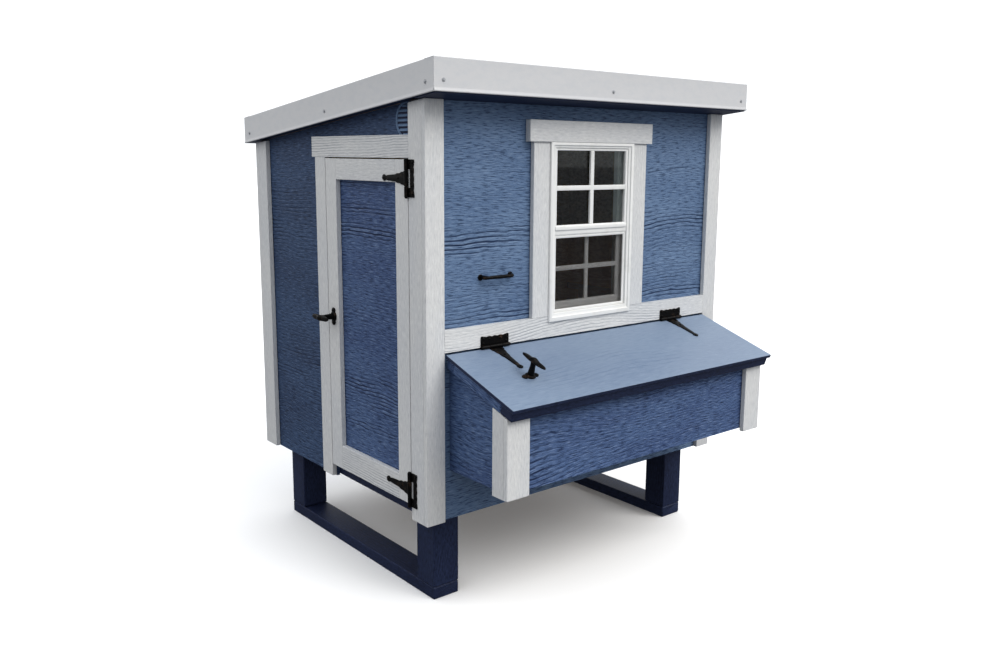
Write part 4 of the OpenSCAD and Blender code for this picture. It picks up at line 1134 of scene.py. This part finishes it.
tee = {"half": 49 * mm, "shaft": 6 * mm, "bore": 6.05 * mm, "disc": 16.0, "lobe": 9, "lobeOut": 19,
       # flange and collar in millimetres: inset and height, then radius and height
       "rim": ((0, 0), (0, 2.6), (0.5, 3.5), (1.5, 4.0)),
       "collar": ((13.5, 4.1), (12.6, 6.2), (11.8, 7.0), (6.05, 7.0)),
       "screwAt": 20.5 * mm,
       # the stem, from the collar up, as radius and height in millimetres
       "stem": ((0.5, 7.4), (9.6, 7.4), (10.0, 8.4), (9.4, 14), (8.4, 24), (7.7, 34), (7.9, 41), (8.8, 46),
                (8.0, 49), (0.5, 50))}


def teeBase(matrix):
    # oblong flange: in each direction the furthest of a middle disc and two end discs, with a softened rim
    angle = np.linspace(0, 2 * np.pi, 72, endpoint=False)
    c, s = np.cos(angle), np.abs(np.sin(angle))
    gapSquared = tee["lobe"] ** 2 - (tee["lobeOut"] * c) ** 2
    ends = np.where(gapSquared > 0, tee["lobeOut"] * s + np.sqrt(np.maximum(gapSquared, 0)), 0)
    outline = np.maximum(tee["disc"], ends) * mm
    steps = tee["rim"]
    rings = np.empty((len(steps) + len(tee["collar"]), 72, 3))
    for k, (inset, z) in enumerate(steps):
        rings[k, :, 0], rings[k, :, 1] = (outline - inset * mm) * c, (outline - inset * mm) * np.sin(angle)
        rings[k, :, 2] = z * mm
    for k, (radius, z) in enumerate(tee["collar"]):
        rings[len(steps) + k, :, 0] = radius * mm * c
        rings[len(steps) + k, :, 1] = radius * mm * np.sin(angle)
        rings[len(steps) + k, :, 2] = z * mm
    bore = np.stack([tee["bore"] * c, tee["bore"] * np.sin(angle), np.zeros(72)], -1)[None]
    flange = outward(carried(np.concatenate([rings, bore]), True))
    screws = [panScrew(matrix @ spotAt(0, y, 4 * mm)) for y in (-tee["screwAt"], tee["screwAt"])]
    return [at(flange, matrix), *screws]


def teeHandle(matrix, depth):
    # shaft and waisted stem, then a wing-shaped bar with a raised middle
    shaft = turned([(0.1 * mm, -depth), (5.6 * mm, -depth), (tee["shaft"], -depth + 0.5 * mm),
                    (tee["shaft"], 8 * mm)], 32)
    stem = turned([(radius * mm, z * mm) for radius, z in tee["stem"]], 36)
    share = np.sin(np.linspace(-np.pi / 2, np.pi / 2, 45))
    x = share * tee["half"]
    away = np.abs(share)
    width = 9.3 * np.sqrt(np.clip(1 - away ** 7, 0.02, 1)) * (1 - 0.18 * away)
    low = 43 + 4 * away ** 1.6
    crown = 9.5 - 5 * np.clip(away / 0.32, 0, 1) ** 1.5
    high = 48.5 + np.where(away < 0.32, crown, 4.5 - 1.6 * (away - 0.32)) - 1.6 * away ** 6
    angle = np.linspace(0, 2 * np.pi, 24, endpoint=False)
    ca, sa = np.cos(angle), np.sin(angle)
    rings = np.empty((45, 24, 3))
    rings[..., 0] = x[:, None]
    rings[..., 1] = width[:, None] * np.sign(ca) * np.abs(ca) ** 0.8 * mm
    middle, half = (low + high) / 2, (high - low) / 2
    rings[..., 2] = (middle[:, None] + half[:, None] * np.sign(sa) * np.abs(sa) ** 0.8) * mm
    return [at(p, matrix) for p in (shaft, stem, outward(carried(rings)))]


doorHandle = place(joints["door_handle_turn"]["pos_m"], (0, -1, 0), (0, 0, 1), (-1, 0, 0))
lidHandle = place(joints["lid_handle_turn"]["pos_m"], pitchY, (-1, 0, 0), pitchZ)
for owner, matrix, depth in (("door", doorHandle, 29 * mm), ("lid", lidHandle, 55 * mm)):
    turning = owner + "_handle"
    piece(owner + "HandleBase", teeBase(matrix), finishes["iron"], owner, [turning + "_base"])
    piece(owner + "Handle", teeHandle(matrix, depth), finishes["iron"], turning, [turning])

# Pull handle: a bar bent out from a flattened pad at each end
low, high = corners("pull_handle")
middle = (low + high) / 2
pull = {"span": 52 * mm, "reach": 22 * mm, "bar": 4.9 * mm, "bend": 13 * mm, "padOut": 3 * mm,
        "pad": [(0.1 * mm, 0), (9 * mm, 0), (9 * mm, 1.6 * mm), (7.6 * mm, 3.0 * mm), (0.1 * mm, 3.2 * mm)]}
faceY = front + house["trim"]
bend = np.radians(np.linspace(0, 90, 9))
armX = pull["span"] - pull["bend"] + pull["bend"] * np.cos(bend)
armY = faceY - pull["reach"] + pull["bend"] - pull["bend"] * np.sin(bend)
halfPath = np.stack([np.append(armX[::-1], pull["span"]), np.append(armY[::-1], faceY - 2 * mm)], -1)
path = np.concatenate([halfPath[::-1] * (-1, 1), halfPath])
straight = np.linspace(-1, 1, 13)[1:-1] * (pull["span"] - pull["bend"])
straight = np.stack([straight, np.full(11, faceY - pull["reach"])], -1)
path = np.concatenate([path[:len(halfPath)], straight, path[len(halfPath):]])
points = np.stack([middle[0] + path[:, 0], path[:, 1], np.full(len(path), middle[2])], -1)
swell = np.interp(np.abs(path[:, 0]), [0, 30 * mm, 39 * mm, 52 * mm], [1.12, 1.0, 0.95, 1.15]) * pull["bar"]
parts = [tube(points, swell)]
for s in (-1, 1):
    padX = middle[0] + s * (pull["span"] + pull["padOut"])
    spot = place((padX, faceY, middle[2]), (1, 0, 0), (0, 0, 1), (0, -1, 0))
    parts.append(turned(pull["pad"], 32, spot))
piece("pullHandle", parts, finishes["iron"], "house", ["pull_handle"])
print("handles made")


window = {"jamb": 22 * mm, "sill": 26 * mm, "head": 16 * mm, "meet": 262 * mm, "lipDeep": 22 * mm,
          "deep": 39.5 * mm, "bar": 15 * mm,
          # side, lower and upper members of each sash
          "upperSash": (9 * mm, 30 * mm, 8 * mm), "lowerSash": (24 * mm, 30 * mm, 24 * mm)}
cx = (winLow[0] + winHigh[0]) / 2
halfOpen = (winHigh[0] - winLow[0]) / 2 - window["jamb"]
sashLow, sashTop, meet = winLow[2] + window["sill"], winHigh[2] - window["head"], winLow[2] + window["meet"]
face = winLow[1]
plane = front + house["trim"]
lipBack, bodyBack = plane + window["lipDeep"], plane + window["deep"]

frameOuter = (winLow[0], winLow[2], winHigh[0], winHigh[2])
frameInner = (cx - halfOpen, sashLow, cx + halfOpen, sashTop)
lipProfile = [(0, plane - 0.2 * mm), (0, face + 1.5 * mm), (0.04, face + 0.4 * mm), (0.09, face),
              (0.50, face), (0.54, face + 0.8 * mm), (0.56, face + 3 * mm), (0.62, face + 3.6 * mm),
              (0.92, face + 3.6 * mm), (0.97, face + 4.2 * mm), (1.0, face + 5.5 * mm),
              (1.0, lipBack), (0.7, lipBack), (0.7, plane)]
bodyBox = [(winLow[0] + 13 * mm, winLow[2] + 15 * mm, winHigh[0] - 13 * mm, winHigh[2] - 14 * mm),
           (cx - halfOpen + 7 * mm, sashLow + 7 * mm, cx + halfOpen - 7 * mm, sashTop - 7 * mm)]
bodyProfile = [(0, plane + 0.2 * mm), (0.55, plane + 0.2 * mm), (0.55, lipBack), (1, lipBack),
               (1, bodyBack), (0, bodyBack)]
piece("windowFrame", [flatRing(frameOuter, frameInner, lipProfile), flatRing(*bodyBox, bodyProfile)],
      finishes["vinyl"], "house", ["window_frame"], 30)


def sash(box, widths, y0, y1, barY, step=1.2 * mm):
    # a bevelled ring with four panes divided by two rounded bars
    side, lower, upper = widths
    bar = window["bar"]
    opening = (box[0] + side, box[1] + lower, box[2] - side, box[3] - upper)
    ring = flatRing(box, opening, [(0, y0 + step), (0.06, y0 + 0.3 * mm), (0.14, y0), (0.72, y0),
                                   (0.84, y0 + 0.5 * mm), (1, y0 + 2.6 * mm), (1, y1), (0, y1)])
    mx, mz = (opening[0] + opening[2]) / 2, (opening[1] + opening[3]) / 2
    over, soft = 0.5 * mm, 1.6 * mm
    upright = block((mx - bar / 2, barY[0], opening[1] - over),
                    (mx + bar / 2, barY[1], opening[3] + over), soft)
    lying = block((opening[0] - over, barY[0] + 0.1 * mm, mz - bar / 2),
                  (opening[2] + over, barY[1], mz + bar / 2), soft)
    return [ring, upright, lying]


upperBox = (cx - halfOpen + 0.1 * mm, meet, cx + halfOpen - 0.1 * mm, sashTop - 0.1 * mm)
y0 = plane - 15 * mm
upper = sash(upperBox, window["upperSash"], y0, plane - 1 * mm, (y0 + 0.5 * mm, y0 + 9 * mm))
rail = block((upperBox[0] + 1 * mm, y0 - 3.5 * mm, meet + 15 * mm),
             (upperBox[2] - 1 * mm, y0 + 2 * mm, meet + 27 * mm), 1.6 * mm)
piece("windowUpperSash", [*upper, rail], finishes["vinyl"], "house", ["window_upper_sash"],
      30)

lowerBox = (cx - halfOpen + 0.5 * mm, sashLow + 0.2 * mm, cx + halfOpen - 0.5 * mm, meet + 22 * mm)
y0 = plane + 2 * mm
lower = sash(lowerBox, window["lowerSash"], y0, y0 + 17 * mm, (y0 + 1.5 * mm, y0 + 8 * mm))
lift = block((cx - 45 * mm, y0 + 16 * mm, sashLow + 8 * mm),
             (cx + 45 * mm, y0 + 17 * mm + 0.2 * mm, sashLow + 16 * mm))
piece("windowLowerSash", [*lower, lift], finishes["vinyl"], "lower_sash", ["window_lower_sash"],
      30)

# Half screen: a white frame holding woven thread
screen = {"pitch": 1.6 * mm, "thread": 0.28 * mm, "frame": 9 * mm}
y0 = plane - 13 * mm
box = (cx - halfOpen + 0.5 * mm, sashLow + 0.3 * mm, cx + halfOpen - 0.5 * mm, meet - 0.3 * mm)
rim = screen["frame"]
inner = (box[0] + rim, box[1] + rim, box[2] - rim, box[3] - rim)
ring = flatRing(box, inner, [(0, y0 + 1 * mm), (0.12, y0), (0.7, y0), (0.82, y0 + 1 * mm), (1, y0 + 1.4 * mm),
                             (1, y0 + 8 * mm), (0, y0 + 8 * mm)])
piece("screenFrame", [ring], finishes["vinyl"], "house", ["window_screen"], 30)


def threads(low, high, across, y, upright):
    # straight square threads side by side, as one part
    count = int((across[1] - across[0]) / screen["pitch"])
    spot = np.linspace(across[0], across[1], count + 2)[1:-1]
    w = screen["thread"] / 2
    corner = np.array([(-w, -w), (w, -w), (w, w), (-w, w)])
    points = np.empty((count, 2, 4, 3))
    k = 0 if upright else 2
    points[..., k] = spot[:, None, None] + corner[None, None, :, 0]
    points[..., 2 - k] = np.array([low, high])[None, :, None]
    points[..., 1] = y + corner[None, None, :, 1]
    start = (np.arange(count) * 8)[:, None, None]
    faces = np.array([(0, 1, 5, 4), (1, 2, 6, 5), (2, 3, 7, 6), (3, 0, 4, 7), (3, 2, 1, 0), (4, 5, 6, 7)])
    return part(points.reshape(-1, 3), (start + faces).reshape(-1, 4))


weave = [threads(inner[1], inner[3], (inner[0], inner[2]), y0 + 3.2 * mm, True),
         threads(inner[0], inner[2], (inner[1], inner[3]), y0 + 3.2 * mm + screen["thread"], False)]
piece("screenWeave", weave, finishes["screen"], "house", ())
print("window made")


low, high = corners("ramp_panel")
edge = 50 * mm
cleat = {"thick": 12 * mm, "wide": 19 * mm, "inset": 25 * mm, "rises": np.arange(85, 441, 80) * mm}
sheetLow = (right - house["trim"] - house["sheet"], low[1], low[2])
panel = sheet(sheetLow, (right - house["trim"], high[1], high[2]), 0, 1, sidingLook, 91)
piece("rampPanel", [panel], finishes["siding"], "ramp", ["ramp_panel"])
x0, x1 = right - house["trim"] + 0.05 * mm, right
boards = [board((x0, y, low[2]), (x1, y + edge, high[2]), trimLook, 92 + k)
          for k, y in enumerate((low[1], high[1] - edge))]
boards += [board((x0, low[1] + edge + hair, z), (x1, high[1] - edge - hair, z + edge), trimLook, 94 + k)
           for k, z in enumerate((low[2], high[2] - edge))]
piece("rampBoards", boards, finishes["white"], "ramp", ())
cleats = [board((sheetLow[0] - cleat["thick"], low[1] + cleat["inset"], z),
                (sheetLow[0], high[1] - cleat["inset"], z + cleat["wide"]),
                dict(timberLook, arris=1.5 * mm), 97 + k)
          for k, z in enumerate(low[2] + cleat["rises"])]
piece("rampCleats", cleats, finishes["softwood"], "ramp", ())
low, high = corners("ramp_button")
middle = (low + high) / 2
button = board(low, (high[0] - 3 * mm, high[1], high[2]), dict(timberLook, arris=2.5 * mm, along=4 * mm), 103)
piece("rampButton", [button], finishes["navy"], "ramp_button", ["ramp_button"])
spot = place((high[0] - 3 * mm, middle[1], middle[2]), (0, 1, 0), (0, 0, 1), (1, 0, 0))
buttonScrew = panScrew(spot, 5.5 * mm, 2.8 * mm)
piece("rampButtonScrew", [buttonScrew], finishes["iron"], "ramp_button", ())
print("ramp made")


def sunLight(name, azimuth, elevation, strength, spread, colour=(1, 1, 1)):
    # azimuth turns from the front towards the right
    data = bpy.data.lights.new(name, "SUN")
    data.energy, data.angle, data.color = strength, math.radians(spread), colour
    a, e = math.radians(azimuth), math.radians(elevation)
    back = np.array([math.sin(a) * math.cos(e), -math.cos(a) * math.cos(e), math.sin(e)])
    side = np.cross((0, 0, 1), back)
    side /= np.linalg.norm(side)
    obj = bpy.data.objects.new(name, data)
    obj.matrix_world = Matrix(place((0, 0, 3), side, np.cross(back, side), back).tolist())
    bpy.context.scene.collection.objects.link(obj)


floorMesh = bpy.data.meshes.new("studioFloor")
wide = 80.0
square = [(-wide, -wide, 0), (wide, -wide, 0), (wide, wide, 0), (-wide, wide, 0)]
floorMesh.from_pydata(square, [], [(0, 1, 2, 3)])
# the floor shows pale and throws back less than it shows
pale = Finish("studioFloor", Roughness=0.9, Specular_IOR_Level=0.1, Emission_Color=(1, 1, 1, 1),
              Emission_Strength=0.04)
direct = pale.node("LightPath", None, None, "Is Camera Ray")
pale.wear("Base Color", pale.mix(direct, tint(104, 106, 110), tint(248, 248, 248)))
floorMesh.materials.append(pale.material)
floor = bpy.data.objects.new("studioFloor", floorMesh)
bpy.context.scene.collection.objects.link(floor)

world = bpy.data.worlds.new("studio")
bpy.context.scene.world = world
world.use_nodes = True
sky = world.node_tree.nodes["Background"]
sky.inputs["Color"].default_value = (0.965, 0.98, 1.0, 1)
# the surroundings are brighter above than at the horizon, and plain white to the eye
glow = {"horizon": 0.60, "above": 1.14, "full": 0.6, "seen": 1.05}
kinds = ("TexCoord", "SeparateXYZ", "MapRange", "LightPath", "Mix")
where, split, climb, seen, chosen = (world.node_tree.nodes.new("ShaderNode" + kind) for kind in kinds)
climb.inputs["From Max"].default_value = glow["full"]
climb.inputs["To Min"].default_value = glow["horizon"]
climb.inputs["To Max"].default_value = glow["above"]
chosen.inputs["B"].default_value = glow["seen"]
for start, end in ((where.outputs["Generated"], split.inputs["Vector"]),
                   (split.outputs["Z"], climb.inputs["Value"]),
                   (seen.outputs["Is Camera Ray"], chosen.inputs["Factor"]),
                   (climb.outputs["Result"], chosen.inputs["A"]),
                   (chosen.outputs["Result"], sky.inputs["Strength"])):
    world.node_tree.links.new(start, end)
sunLight("key", 24, 46, 1.42, 36, (1.0, 0.98, 0.95))

camera = {"spot": (-2.0094, -2.4345, 1.2940), "yaw": 39.979, "pitch": -9.83, "roll": 0.508, "lens": 33.12,
          "shift": (-0.0149, -0.0097)}
yaw, pitch, roll = (math.radians(camera[k]) for k in ("yaw", "pitch", "roll"))
ahead = np.array([math.sin(yaw) * math.cos(pitch), math.cos(yaw) * math.cos(pitch), math.sin(pitch)])
flat = np.array([math.cos(yaw), -math.sin(yaw), 0])
upwards = np.cross(flat, ahead)
sideways = flat * math.cos(roll) + upwards * math.sin(roll)
upwards = upwards * math.cos(roll) - flat * math.sin(roll)
data = bpy.data.cameras.new("studioCamera")
data.lens, data.sensor_width = camera["lens"], 36
data.shift_x, data.shift_y = camera["shift"]
cam = bpy.data.objects.new("studioCamera", data)
cam.matrix_world = Matrix(place(camera["spot"], sideways, upwards, -ahead).tolist())
bpy.context.scene.collection.objects.link(cam)
bpy.context.scene.camera = cam
bpy.context.scene.view_settings.view_transform = "Standard"
bpy.context.scene.view_settings.look = "Medium High Contrast"
print("stage, light and camera set")

bpy.context.view_layer.update()
